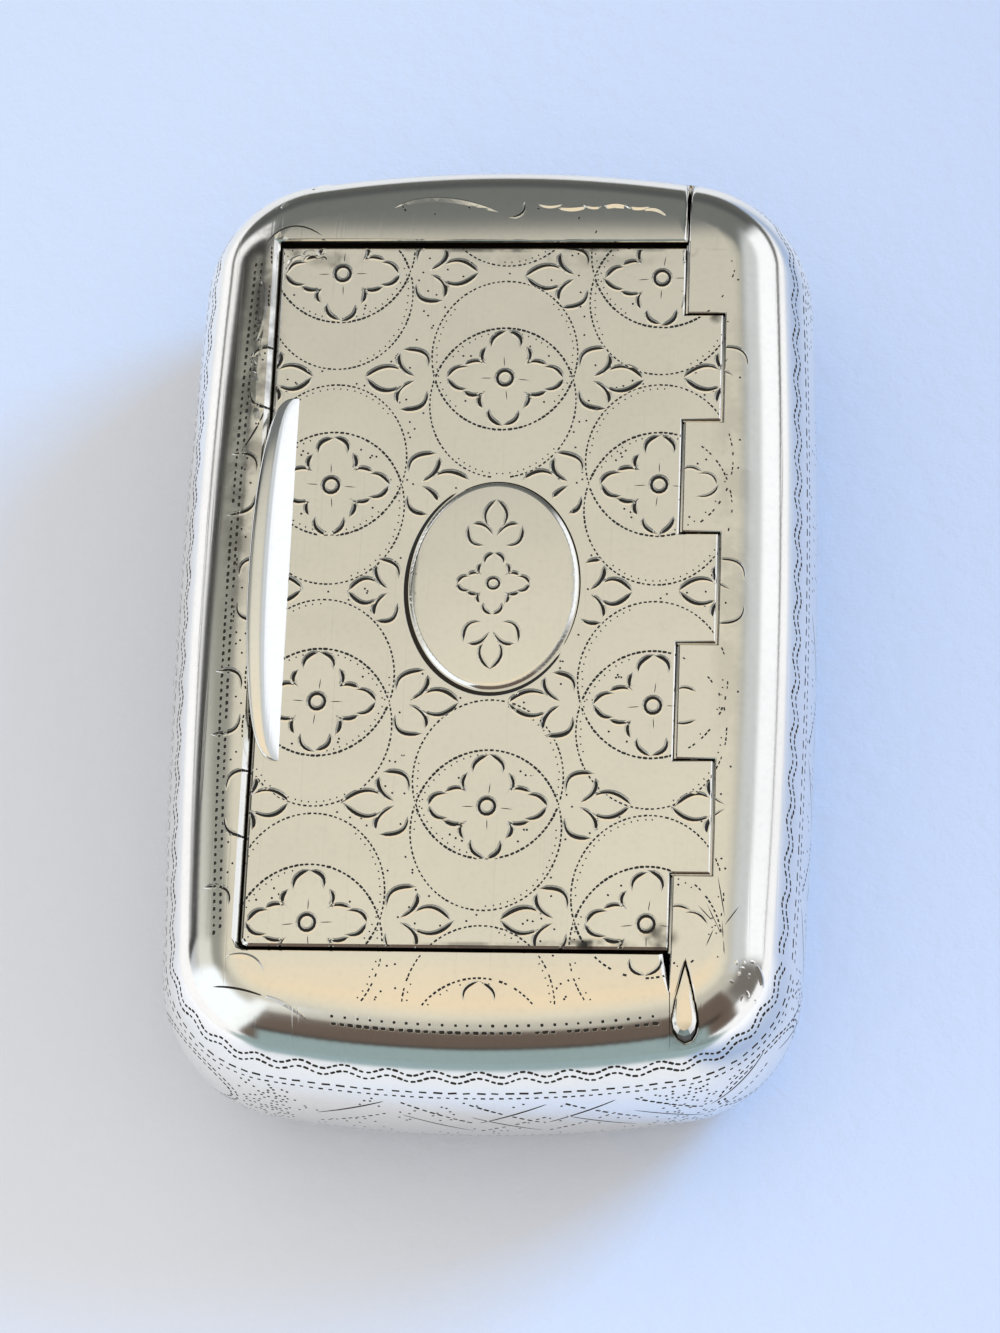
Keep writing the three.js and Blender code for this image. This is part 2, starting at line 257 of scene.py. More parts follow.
# Share of its width that a stroke has at its tips, and the share that swells between them
TIP_SHARE = 0.4
SWELL_SHARE = 0.6
RING_POINTS = 14


class Engraving:
    """Cuts in a sheet. Each has one or more rims with their levels, and a spine with its depths."""

    def __init__(self):
        self.cuts = []

    def add(self, rims, spine, depths, links, levels=(0.0,)):
        self.cuts.append((rims, spine, depths, links, levels))

    def pit(self, u, v, length, width, angle, depth):
        """A small dash or dot left by one touch of the graver."""
        c, s = math.cos(angle), math.sin(angle)
        rim = [(u + c * a * length - s * b * width, v + s * a * length + c * b * width) for a, b in DASH]
        self.add([rim], [(u, v)], [depth], [])

    def stroke(self, path, width, depth, heavy=0.5, lean=0.0, burr=0.0):
        """A swelling cut along a path. heavy says where it is widest, lean moves its spine sideways."""
        power = math.log(0.5) / math.log(heavy)
        count = len(path) - 1
        steps = []
        for i in range(1, count):
            (ax, ay), (bx, by) = path[i - 1], path[i + 1]
            run = math.hypot(bx - ax, by - ay) or 1.0
            nx, ny = -(by - ay) / run, (bx - ax) / run
            swell = max(math.sin(math.pi * (i / count) ** power), 0.0) ** 0.8
            half = width / 2 * (TIP_SHARE + SWELL_SHARE * swell)
            steps.append((*path[i], nx, ny, half))
        spine = [(x + nx * half * lean, y + ny * half * lean) for x, y, nx, ny, half in steps]
        depths = [depth * step[4] / (width / 2) for step in steps]
        links = [(i, i + 1) for i in range(len(spine) - 1)]

        def outline(spread):
            tips = []
            for (ax, ay), (bx, by) in ((path[0], path[1]), (path[-1], path[-2])):
                run = math.hypot(ax - bx, ay - by)
                tips.append((ax + (ax - bx) / run * spread, ay + (ay - by) / run * spread))
            left = [(x + nx * (half + spread), y + ny * (half + spread)) for x, y, nx, ny, half in steps]
            right = [(x - nx * (half + spread), y - ny * (half + spread)) for x, y, nx, ny, half in steps]
            return [tips[0], *right, tips[1], *left[::-1]]

        if burr:
            self.add([outline(0.0), outline(BURR_REACH)], spine, depths, links, (-burr, 0.0))
        else:
            self.add([outline(0.0)], spine, depths, links)

    def ring(self, u, v, radius, width, depth, squash, burr):
        """A small cut circle with raised edges."""
        outer, inner = radius + width / 2, radius - width / 2
        *rims, spine = [
            [(u + r * math.cos(a), v + r * squash * math.sin(a)) for a in turns(RING_POINTS)]
            for r in (outer, inner, outer + BURR_REACH, inner - BURR_REACH, radius)
        ]
        links = [(i, (i + 1) % RING_POINTS) for i in range(RING_POINTS)]
        self.add(rims, spine, [depth] * RING_POINTS, links, (-burr, -burr, 0.0, 0.0))


def turns(count):
    """Angles that share out a full turn."""
    return [2 * math.pi * i / count for i in range(count)]


def curve(points, steps):
    """A smooth path through three points."""
    (ax, ay), (bx, by), (cx, cy) = points
    hx, hy = 2 * bx - (ax + cx) / 2, 2 * by - (ay + cy) / 2
    path = []
    for i in range(steps + 1):
        t = i / steps
        p, q, r = (1 - t) ** 2, 2 * t * (1 - t), t * t
        path.append((p * ax + q * hx + r * cx, p * ay + q * hy + r * cy))
    return path


# Strokes of a flower from its middle and of a leaf sprig from its start, in millimetres, each with
# the place where it is widest and, for the leaves, the lean of its spine
PETAL_STROKES = [
    ([(1.42, 1.12), (2.1, 1.3), (2.78, 1.04)], 0.66),
    ([(1.38, 1.08), (1.66, 1.66), (1.42, 2.32)], 0.66),
    ([(2.66, 0.86), (3.45, 0.74), (3.92, 0.04)], 0.64),
    ([(1.0, 2.45), (0.84, 3.2), (0.06, 3.66)], 0.6),
]
LEAF_STROKES = [
    ([(2.25, 0.6), (3.5, 0.9), (4.72, 0.04)], 0.66, -0.4),
    ([(0.42, 1.0), (0.8, 2.05), (2.2, 2.3)], 0.7, -0.4),
    ([(1.42, 0.2), (2.3, 0.95), (2.42, 1.85)], 0.66, 0.4),
]
PETAL_LEAN = 0.4
# The two circles of a motif: half sizes and shift from its middle
CIRCLE_X = 5.0
CIRCLE_Y = 5.72
CIRCLE_SHIFT = 1.82
# Start and length of a sprig, away from the plaque and beside it
SPRIG = (4.78, 1.0)
PLAQUE_SPRIG = (5.78, 0.79)
# How far the cuts stay off the plaque, and dots off the middle of a stroke
PLAQUE_MARGIN = 0.55
DOT_GAP = 0.17
# Tries at a dot in a lens and on the ground between the circles
LENS_TRIES = 80
GROUND_TRIES = 1500
# Seeds of the random draws
TOP_SEED = 7
BORDER_SEED = 11
WEAR_SEED = 5
BAND_SEED = 3
# Signs of the four quarters round a middle
QUARTERS = [(1, 1), (1, -1), (-1, 1), (-1, -1)]

# Where the motifs stand on the top: five columns, each half a pitch along from the next
MOTIFS = [
    (0.57, 15.75), (0.2, -0.3), (0.55, -15.95), (0.5, -32.0), (0.6, 32.0),
    (-10.9, 24.0), (-10.9, 7.6), (-10.9, -8.6), (-10.9, -24.2),
    (11.3, 23.5), (11.35, 7.7), (11.35, -8.6), (11.3, -24.15),
    (22.35, 15.75), (22.4, -0.3), (22.4, -15.95), (22.3, 31.8), (22.3, -32.0),
    (-22.0, 15.75), (-22.0, -0.3), (-22.0, -15.95), (-22.0, 31.8), (-22.0, -32.0),
]


class Graver:
    """Widths and depths of the cuts, less where the pattern is worn thin."""

    def __init__(self, sizes, thin):
        self.width = sizes.line_width / MM * thin
        self.depth = sizes.line_depth / MM * thin
        self.dot = sizes.dot_size / MM * (0.4 + 0.6 * thin)
        self.dot_depth = sizes.dot_depth / MM
        self.burr = sizes.burr / MM * thin


def rouletted(cuts, points, pitch, length, width, depth, chance):
    """Dashes along a line of points, uneven in place, turn and size."""
    travelled, due = 0.0, pitch * chance.uniform(0.2, 0.8)
    for (ax, ay), (bx, by) in zip(points, points[1:]):
        run = math.hypot(bx - ax, by - ay)
        while travelled + run >= due:
            t = (due - travelled) / run
            angle = math.atan2(by - ay, bx - ax) + chance.uniform(-0.12, 0.12)
            # An idle draw, because the pattern was set with it
            chance.random()
            grow = chance.uniform(0.82, 1.15)
            x, y = ax + (bx - ax) * t, ay + (by - ay) * t
            cuts.pit(x, y, length * grow, width * grow, angle, depth * grow)
            due += pitch * chance.uniform(0.9, 1.1)
        travelled += run


def in_ellipse(x, y, cx, cy, rx, ry):
    """Whether a point lies in an upright ellipse."""
    return ((x - cx) / rx) ** 2 + ((y - cy) / ry) ** 2 < 1


def in_circles(px, py, x, y, margin):
    """Whether a point lies in each of the two circles of the motif at x, y, widened by a margin."""
    rx, ry = CIRCLE_X + margin, CIRCLE_Y + margin
    return [in_ellipse(px, py, x, y + s * CIRCLE_SHIFT, rx, ry) for s in (1, -1)]


def outside_part(path, ellipse):
    """The longest part of a path that stays out of an ellipse."""
    parts = [[]]
    for point in path:
        if in_ellipse(*point, *ellipse):
            parts.append([])
        else:
            parts[-1].append(point)
    return max(parts, key=len)


def motif(cuts, x, y, chance, graver):
    """Two overlapping circles, a flower in the lens between them, and a sprig at each end of it."""
    sprig = PLAQUE_SPRIG if in_ellipse(x, y, *plaque_shape(PLAQUE_MARGIN)) else SPRIG
    x += chance.uniform(-0.08, 0.08)
    y += chance.uniform(-0.08, 0.08)
    circles(cuts, x, y, chance, graver)
    fx, fy = x + chance.uniform(-0.1, 0.1), y + chance.uniform(-0.25, 0.05)
    flower(cuts, fx, fy, chance, graver)
    sprigs(cuts, x, y, sprig, chance, graver)
    for _ in range(LENS_TRIES):
        px, py = x + chance.uniform(-4.4, 4.4), y + chance.uniform(-3.6, 3.6)
        across, along = abs(px - fx), abs(py - fy)
        by_flower = across / 4.1 + along / 3.9 < 0.98
        by_petal = min(across, along) < 1.5 and math.hypot(across, along) < 4.0
        if all(in_circles(px, py, x, y, -0.5)) and not by_flower and not by_petal:
            cuts.pit(px, py, 0.17, 0.15, chance.uniform(0, 3), graver.dot_depth)


def circles(cuts, x, y, chance, graver):
    """Two circles of dashes, heavier along the lens, each with a broken row of dots inside it."""
    crossing = math.asin(CIRCLE_SHIFT / CIRCLE_Y)
    outer_arc = np.linspace(-crossing, math.pi + crossing, 54)
    lens_arc = np.linspace(math.pi + crossing, 2 * math.pi - crossing, 36)
    for side in (1, -1):
        cy = y + side * CIRCLE_SHIFT
        for arc, heavier in ((outer_arc, 1.0), (lens_arc, 1.3)):
            line = [(x + CIRCLE_X * math.cos(a), cy + side * CIRCLE_Y * math.sin(a)) for a in arc]
            rouletted(cuts, line, 0.36, 0.33, graver.dot * heavier, graver.dot_depth, chance)
        start = chance.uniform(0, 6)
        rx, ry = CIRCLE_X - 0.3, CIRCLE_Y - 0.3
        for a in turns(62):
            if math.sin(2 * a + start) > -0.1:
                px = x + rx * math.cos(a) + chance.uniform(-0.05, 0.05)
                cuts.pit(px, cy + ry * math.sin(a), 0.13, 0.1, a, graver.dot_depth * 0.8)


def flower(cuts, x, y, chance, graver):
    """Four petals round a ring, each with a short vein."""
    for sx, sy in QUARTERS:
        for points, heavy in PETAL_STROKES:
            shifted = [(x + sx * px * chance.uniform(0.97, 1.03), y + sy * py * chance.uniform(0.97, 1.03))
                       for px, py in points]
            width = graver.width * chance.uniform(0.8, 1.1)
            cuts.stroke(curve(shifted, 6), width, graver.depth, heavy, -PETAL_LEAN * sx * sy, graver.burr)
    cuts.ring(x, y, 0.53, graver.width * 0.85, graver.depth * 0.85, 1.08, graver.burr)
    for dx, dy in ((1, 0), (-1, 0), (0, 1), (0, -1)):
        tilt = chance.uniform(-0.12, 0.12)
        vein = [(x + dx * r - dy * tilt * r, y + dy * r + dx * tilt * r) for r in (0.85, 1.25, 1.75)]
        cuts.stroke(curve(vein, 3), 0.07, 0.022)


def sprigs(cuts, x, y, sprig, chance, graver):
    """A leaf sprig at each end of a lens, trimmed where it would run under the plaque."""
    start, length = sprig
    plaque = plaque_shape(PLAQUE_MARGIN)
    for sx, sy in QUARTERS:
        for points, heavy, lean in LEAF_STROKES:
            shifted = [(x + sx * (start + px * length * chance.uniform(0.97, 1.03)),
                        y + sy * py * chance.uniform(0.96, 1.04)) for px, py in points]
            path = outside_part(curve(shifted, 9), plaque)
            heft = graver.width * chance.uniform(0.92, 1.15)
            if len(path) > 4:
                cuts.stroke(path, heft, graver.depth, heavy, lean * sx * sy, graver.burr)


def top_engraving(sizes, thin=1.0):
    """The pattern over the whole top: motifs and stippled ground, thinner where it is worn."""
    chance = random.Random(TOP_SEED)
    cuts = Engraving()
    for x, y in MOTIFS:
        motif(cuts, x, y, chance, Graver(sizes, thin))
    for _ in range(GROUND_TRIES):
        x, y = chance.uniform(-19, 19), chance.uniform(-31, 31)
        if not any(any(in_circles(x, y, mx, my, 0.25)) for mx, my in MOTIFS):
            cuts.pit(x, y, 0.17, 0.14, chance.uniform(0, 3), 0.045)
    return cuts.cuts


def border_engraving():
    """Two rows of dashes round the roll of the frame, further in on the thumbpiece side."""
    chance = random.Random(BORDER_SEED)
    cuts = Engraving()
    # For each row of a stretch: its shift inwards, then pitch, length and width of the dashes
    plain = [(0.0, 0.8, 0.3, 0.15), (0.42, 0.8, 0.2, 0.14)]
    thumb_side = [(0.0, 0.55, 0.34, 0.2), (0.42, 0.55, 0.32, 0.19)]
    near_end = [(0.0, 0.56, 0.42, 0.2), (0.42, 0.8, 0.22, 0.17)]
    ends = [0.0, *CORNER_MIDDLES, GIRTH]
    for start, stop, rows in zip(ends, ends[1:], (plain, plain, thumb_side, near_end, plain)):
        u = np.linspace(start, stop, 260)
        _, _, ox, oy = outline_at(u, 0.0)
        outer = 3.9 - 0.5 * ox + 0.55 * np.minimum(oy, 0)
        for shift, pitch, length, width in rows:
            rouletted(cuts, frame_edge(u, outer + shift), pitch, length, width, 0.05, chance)
    return cuts.cuts


def search_tree(points):
    """A tree that finds the closest of some points in plan."""
    tree = kdtree.KDTree(max(len(points), 1))
    for i, (x, y) in enumerate(points):
        tree.insert((x, y, 0), i)
    tree.balance()
    return tree


def clear_of_strokes(cuts, gap):
    """Drops dots and dashes whose middle lies on a longer cut."""
    tree = search_tree([p for c in cuts if len(c[1]) > 1 for p in c[1]])
    return [c for c in cuts if len(c[1]) > 1 or tree.find((*c[1][0], 0))[2] > gap]


# Sheets


def inside_loops(points, loops):
    """Which points lie inside the area that the loops bound."""
    inside = np.zeros(len(points), bool)
    x, y = points[:, 0], points[:, 1]
    for loop in loops:
        loop = np.asarray(loop)
        following = np.roll(loop, -1, axis=0)
        for (ax, ay), (bx, by) in zip(loop, following):
            if ay == by:
                continue
            crosses = ((ay > y) != (by > y)) & (x < (bx - ax) * (y - ay) / (by - ay) + ax)
            inside ^= crosses
    return inside


def segment_distance(points, a, b):
    """How far each point is from the line between a and b."""
    a, b = np.asarray(a), np.asarray(b)
    along = np.clip(((points - a) @ (b - a)) / max(float((b - a) @ (b - a)), 1e-12), 0, 1)
    return np.linalg.norm(points - (a + along[:, None] * (b - a)), axis=1)


def inner_loop(loop, bevels, share):
    """The loop moved inwards by each edge's own bevel."""
    count = len(loop)
    moved = []
    for i in range(count):
        before, here, after = (np.asarray(loop[(i + k) % count]) for k in (-1, 0, 1))
        rows, shifts = [], []
        for a, b, width in ((before, here, bevels[i - 1]), (here, after, bevels[i])):
            run = (b - a) / np.linalg.norm(b - a)
            rows.append([-run[1], run[0]])
            shifts.append(width * share)
        if abs(np.linalg.det(rows)) < 0.05:
            moved.append(here + np.asarray(rows[0]) * max(shifts))
        else:
            moved.append(here + np.linalg.solve(rows, shifts))
    return [tuple(float(c) for c in p) for p in moved]


# Shares of a bevel: where across its width it turns steeper, and how far it has come down there
KNEE = 0.4
KNEE_FALL = 0.55
# Grid points keep this far from the spines of the cuts
GRID_GAP = 0.26
# Depth at which a cut is as dark as it gets
DARK_DEPTH = 0.03
# Doubled areas below which a triangle is dropped, on an upper face and elsewhere
FACE_SLIVER = 1e-9
SLIVER = 1e-10
# A rim point whose underside is this close stands for both
FLUSH = 2e-3


class Sheet:
    """The upper face of a sheet in plan: its outlines and their bevels, its cuts, and a grid of points."""

    def __init__(self, loops, cuts, grid, bevels=None, bevel_drop=0.0):
        self.loops, self.bevels = loops, bevels or [[0.0] * len(loop) for loop in loops]
        self.points, self.depths, self.edges = [], [], []
        self.bevel_drop = bevel_drop
        for loop, widths in zip(self.loops, self.bevels):
            self.chain(loop, 0.0)
            if max(widths) > 0:
                self.chain(inner_loop(loop, widths, 1.0), 0.0)
                self.chain(inner_loop(loop, widths, KNEE), 0.0)
        if cuts:
            self.add_cuts(cuts)
        if grid:
            self.add_grid(grid, cuts)

    def chain(self, loop, depth):
        """Adds a closed loop of points at one depth."""
        start = len(self.points)
        self.points += loop
        self.depths += [depth] * len(loop)
        self.edges += [(start + i, start + (i + 1) % len(loop)) for i in range(len(loop))]

    def add_cuts(self, cuts):
        """Takes the cuts whose rim starts or has its middle inside the outlines."""
        firsts = np.array([c[0][0][0] for c in cuts])
        middles = np.array([c[0][0][len(c[0][0]) // 2] for c in cuts])
        keep = inside_loops(firsts, self.loops) | inside_loops(middles, self.loops)
        for (rims, spine, depths, links, levels), kept in zip(cuts, keep):
            if not kept:
                continue
            for rim, level in zip(rims, levels):
                self.chain(rim, level)
            start = len(self.points)
            self.points += spine
            self.depths += depths
            self.edges += [(start + a, start + b) for a, b in links]

    def add_grid(self, grid, cuts):
        """Takes the grid points inside the outlines that are clear of the cuts."""
        spines = [p for c in cuts for p in c[1]]
        tree = search_tree(spines)
        inside = inside_loops(np.asarray(grid), self.loops)
        for (x, y), kept in zip(grid, inside):
            if kept and (not spines or tree.find((x, y, 0))[2] > GRID_GAP):
                self.points.append((float(x), float(y)))
                self.depths.append(0.0)

    def triangulate(self):
        """Points in plan, their depths, and the triangles between them."""
        vectors = [Vector(p) for p in self.points]
        verts, _, faces, origins, _, _ = delaunay_2d_cdt(vectors, self.edges, [], 0, 1e-5, True)
        flat = np.array([(v.x, v.y) for v in verts])
        depth = np.array([max((self.depths[i] for i in ids), default=0.0) for ids in origins])
        return flat, depth, trimmed(faces, flat, self.loops, FACE_SLIVER, 1)

    def bevel_depth(self, flat):
        """How far the bevel takes each point down, by its distance from the bevelled edges."""
        drop = np.zeros(len(flat))
        widest = max(max(widths) for widths in self.bevels)
        for loop, widths in zip(self.loops, self.bevels):
            for i, width in enumerate(widths):
                if width <= 0:
                    continue
                a, b = loop[i], loop[(i + 1) % len(loop)]
                low, high = np.minimum(a, b) - width, np.maximum(a, b) + width
                near = np.where(((flat >= low) & (flat <= high)).all(1))[0]
                away = segment_distance(flat[near], a, b)
                fall = np.interp(away, [0, width * KNEE, width], [1.0, KNEE_FALL, 0.0])
                fall = fall * self.bevel_drop * (width / widest)
                drop[near] = np.maximum(drop[near], np.where(fall < 1e-4, 0, fall))
        return drop


def trimmed(faces, flat, loops, sliver, facing):
    """Triangles inside the loops, without slivers, all turned to face up, or down where facing is -1."""
    faces = np.array(faces)
    a, b, c = (flat[faces[:, k]] for k in range(3))
    area = (b[:, 0] - a[:, 0]) * (c[:, 1] - a[:, 1]) - (b[:, 1] - a[:, 1]) * (c[:, 0] - a[:, 0])
    wrong = area * facing < 0
    faces[wrong] = faces[wrong][:, ::-1]
    return faces[(np.abs(area) > sliver) & inside_loops(flat[faces].mean(1), loops)]


def boundary_links(faces):
    """Directed edges that belong to one triangle only, as next-vertex links."""
    directed = set()
    for a, b, c in faces.tolist():
        directed.update(((a, b), (b, c), (c, a)))
    return {a: b for a, b in directed if (b, a) not in directed}


class Shell:
    """Points, triangles, corner normals and finish numbers of a closed piece under construction."""

    def __init__(self):
        self.points, self.faces, self.normals, self.finish, self.tarnish = [], [], [], [], []
        self.size = 0

    def add_points(self, points, tarnish):
        start = self.size
        self.points.append(np.asarray(points, float))
        self.tarnish.append(np.asarray(tarnish, float))
        self.size += len(points)
        return start

    def add_faces(self, faces, normals, finish):
        """Normals is one vector for each corner, or None for flat faces."""
        faces = np.asarray(faces)
        if not len(faces):
            return
        if normals is None:
            normals = np.zeros((len(faces), 3, 3))
        self.faces.append(faces)
        self.normals.append(normals)
        self.finish.append(np.full(len(faces), finish))

    def build(self, name, materials, turned=False):
        points = np.concatenate(self.points)
        faces = np.concatenate(self.faces)
        normals = np.concatenate(self.normals)
        if turned:
            points = np.column_stack([points[:, :2], TOP - points[:, 2]])
            faces = faces[:, ::-1]
            normals = normals[:, ::-1] * (1, 1, -1)
        finish = np.concatenate(self.finish)
        tarnish = np.concatenate(self.tarnish)
        a, b, c = (points[faces[:, k]] for k in range(3))
        cross = np.cross(b - a, c - a)
        size = np.linalg.norm(cross, axis=1)
        good = size > SLIVER
        faces, normals, finish = faces[good], normals[good], finish[good]
        face_normal = cross[good] / size[good][:, None]
        flat = np.linalg.norm(normals, axis=2) < 0.5
        normals = np.where(flat[:, :, None], face_normal[:, None, :], normals)
        used, compact = np.unique(faces, return_inverse=True)
        compact = compact.reshape(faces.shape)
        mesh = bpy.data.meshes.new(name)
        mesh.from_pydata((points[used] * MM).tolist(), [], compact.tolist())
        for material in materials:
            mesh.materials.append(material)
        mesh.polygons.foreach_set("material_index", finish.astype(np.int32))
        mesh.polygons.foreach_set("use_smooth", np.ones(len(compact), bool))
        attribute = mesh.attributes.new("tarnish", "FLOAT", "POINT")
        attribute.data.foreach_set("value", tarnish[used].astype(np.float32))
        mesh.normals_split_custom_set(normals.reshape(-1, 3).tolist())
        mesh.update()
        return placed(name, mesh)


def placed(name, data):
    """A new object in the scene."""
    obj = bpy.data.objects.new(name, data)
    bpy.context.scene.collection.objects.link(obj)
    return obj


def over_height(height):
    """A surface function over points in plan from a function for the height alone."""
    step = 0.004

    def surface(x, y):
        z = height(x, y)
        rise_x = (height(x + step, y) - height(x - step, y)) / (2 * step)
        rise_y = (height(x, y + step) - height(x, y - step)) / (2 * step)
        normal = np.stack([-rise_x, -rise_y, np.ones_like(z)], 1)
        return np.stack([x, y, z], 1), normal / np.linalg.norm(normal, axis=1)[:, None]

    return surface


def chained(links):
    """The closed loops that boundary edges form, as lists of point numbers."""
    left, loops = dict(links), []
    while left:
        first, after = left.popitem()
        loops.append([first])
        while after != first:
            loops[-1].append(after)
            after = left.pop(after)
    return loops


def plate(name, sheet, surface, under, materials, under_lines=(), turned=False):
    """A closed plate: an engraved face over surface(x, y), walls round it and an underside at under(x, y)."""
    flat, cut, faces = sheet.triangulate()
    drop = sheet.bevel_depth(flat)
    points, normals = surface(flat[:, 0], flat[:, 1])
    points = points - normals * cut[:, None]
    points[:, 2] -= drop
    shell = Shell()
    shell.add_points(points, np.clip(cut / DARK_DEPTH, 0, 1))
    worked = ((cut[faces] != 0) | (drop[faces] > 0)).any(1)
    shell.add_faces(faces[~worked], normals[faces[~worked]], 0)
    shell.add_faces(faces[worked], None, 0)

    links = boundary_links(faces)
    rim = np.array(sorted(links))
    rim_flat = flat[rim]
    lower = np.column_stack([rim_flat, under(rim_flat[:, 0], rim_flat[:, 1])])
    same = np.abs(lower[:, 2] - points[rim][:, 2]) < FLUSH
    start = shell.add_points(lower, np.zeros(len(rim)))
    below = {int(v): int(v) if same[k] else start + k for k, v in enumerate(rim)}
    walls = []
    for a, b in links.items():
        walls += [(below[a], below[b], b), (below[a], b, a)]
    shell.add_faces([w for w in walls if len(set(w)) == 3], None, len(materials) - 1)

    order = {int(v): k for k, v in enumerate(rim)}
    vectors = [Vector(p) for p in rim_flat.tolist()]
    edges = [(order[a], order[b]) for a, b in links.items()]
    for line in under_lines:
        first = len(vectors)
        vectors += [Vector(p) for p in line]
        edges += [(first + i, first + i + 1) for i in range(len(line) - 1)]
    verts, _, faces, origins, _, _ = delaunay_2d_cdt(vectors, edges, [], 0, 1e-6, True)
    low_flat = np.array([(v.x, v.y) for v in verts])
    faces = trimmed(faces, low_flat, [flat[loop] for loop in chained(links)], SLIVER, -1)
    base = shell.add_points(np.column_stack([low_flat, under(low_flat[:, 0], low_flat[:, 1])]),
                            np.zeros(len(low_flat)))
    lookup = np.arange(len(low_flat)) + base
    for k, ids in enumerate(origins):
        for i in ids:
            if i < len(rim):
                lookup[k] = below[int(rim[i])]
    shell.add_faces(lookup[faces], None, min(1, len(materials) - 1))
    return shell.build(name, materials, turned)


def ride(obj, body, slot, *nodes):
    """What a finished piece moves with and the solids it stands for; the finish it has (slot) is not used."""
    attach(obj, body)
    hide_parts(*nodes)


# Finishes


class Value:
    """A socket in an expression: arithmetic on it adds Math nodes."""

    def __init__(self, nodes, socket):
        self.nodes, self.socket = nodes, socket

    def math(self, operation, *others):
        return self.nodes.add("ShaderNodeMath", {"operation": operation}, [self, *others])

    def __add__(self, other):
        return self.math("ADD", other)

    __radd__ = __add__

    def __mul__(self, other):
        return self.math("MULTIPLY", other)

    __rmul__ = __mul__

    def __sub__(self, other):
        return self.math("SUBTRACT", other)

    def __rsub__(self, other):
        return self.nodes.add("ShaderNodeMath", {"operation": "SUBTRACT"}, [other, self])

    def __truediv__(self, other):
        return self.math("DIVIDE", other)

    def __rtruediv__(self, other):
        return self.nodes.add("ShaderNodeMath", {"operation": "DIVIDE"}, [other, self])

    def __pow__(self, other):
        return self.math("POWER", other)

    def __abs__(self):
        return self.math("ABSOLUTE")


class Nodes:
    """The node tree of a material or of the world."""

    def __init__(self, tree):
        self.tree = tree
        tree.nodes.clear()

    def add(self, kind, settings=None, inputs=(), output=0):
        """Any node: its settings first, then the values or links of its sockets."""
        node = self.tree.nodes.new(kind)
        for key, value in (settings or {}).items():
            if key == "stops":
                self.set_stops(node.color_ramp, value)
            else:
                setattr(node, key, value)
        named = inputs.items() if isinstance(inputs, dict) else enumerate(inputs)
        for key, value in named:
            socket = node.inputs[key]
            if isinstance(value, Value):
                self.tree.links.new(value.socket, socket)
            else:
                socket.default_value = value
        return Value(self, node.outputs[output]) if len(node.outputs) else None

    def set_stops(self, ramp, stops):
        """Gives a colour ramp its places and colours."""
        while len(ramp.elements) < len(stops):
            ramp.elements.new(1.0)
        for element, (position, colour) in zip(ramp.elements, stops):
            element.position = position
            element.color = colour

    def axes(self, vector):
        """The three numbers of a vector."""
        return [self.add("ShaderNodeSeparateXYZ", {}, [vector], k) for k in range(3)]

    def blend(self, share, first, second):
        """First colour where share is 0, second where it is 1."""
        settings = {"data_type": "RGBA"}
        return self.add("ShaderNodeMix", settings, {0: share, 6: first, 7: second}, 2)

    def between(self, value, low, high):
        """0 below low and 1 above high, smooth between."""
        settings = {"interpolation_type": "SMOOTHSTEP"}
        return self.add("ShaderNodeMapRange", settings, {0: value, 1: low, 2: high})

    def place(self, scale=(1, 1, 1), turn=0.0):
        """Object coordinates, scaled and turned about Z."""
        coordinates = self.add("ShaderNodeTexCoord", output=3)
        return self.add("ShaderNodeMapping", {}, {0: coordinates, 2: (0, 0, turn), 3: scale})

    def noise(self, where, scale, detail, rough):
        """Cloudy values from 0 to 1."""
        return self.add("ShaderNodeTexNoise", {}, {"Vector": where, "Scale": scale, "Detail": detail,
                                                   "Roughness": rough})


def rgba(colour):
    """An opaque colour."""
    return (*colour[:3], 1.0)


# Noises in the finishes: scale, detail and roughness
CLOUDS = (90, 3, 0.55)
BLOTCHES = (420, 3, 0.6)
SPECKS = (2400, 2, 0.5)
SCRATCHES = (60, 1.5, 0.4)
WAVES = (130, 1, 0.4)
PAPER_GRAIN = (420, 4, 0.65)
# The three ways in which scratches run: turn about Z, and stretch of their noise
SCRATCH_WAYS = [(0.5, (60, 1.2, 2)), (-0.8, (70, 1.0, 2)), (1.9, (55, 1.3, 2))]


def seat_dirt_and_shade(nodes, x, y):
    """Dirt and painted shade on the seats where the lid's edge comes down, in the gap round the lid."""
    by_front = nodes.between(abs(x + 0.6 * MM), (-LID_FRONT - 1.3) * MM, (-LID_FRONT - 0.9) * MM)
    by_ends = nodes.between(abs(y), (LID_END - 0.7) * MM, (LID_END - 0.3) * MM)
    return by_front.math("MAXIMUM", by_ends)


def top_dirt_and_shade(nodes, x, y, blotches):
    """Dirt and painted shade in the dark patches on the top, broken up by blotches."""
    dirt_and_shade = 0.0
    for cx, cy, rx, ry, strength in DIRT_AND_SHADE_PATCHES:
        across, along = (x - cx * MM) / (rx * MM), (y - cy * MM) / (ry * MM)
        near = nodes.between((across * across + along * along) ** 0.5, 1.15, 0.35)
        dirt_and_shade = near * nodes.between(blotches, 0.36, 0.6) * strength + dirt_and_shade
    return dirt_and_shade


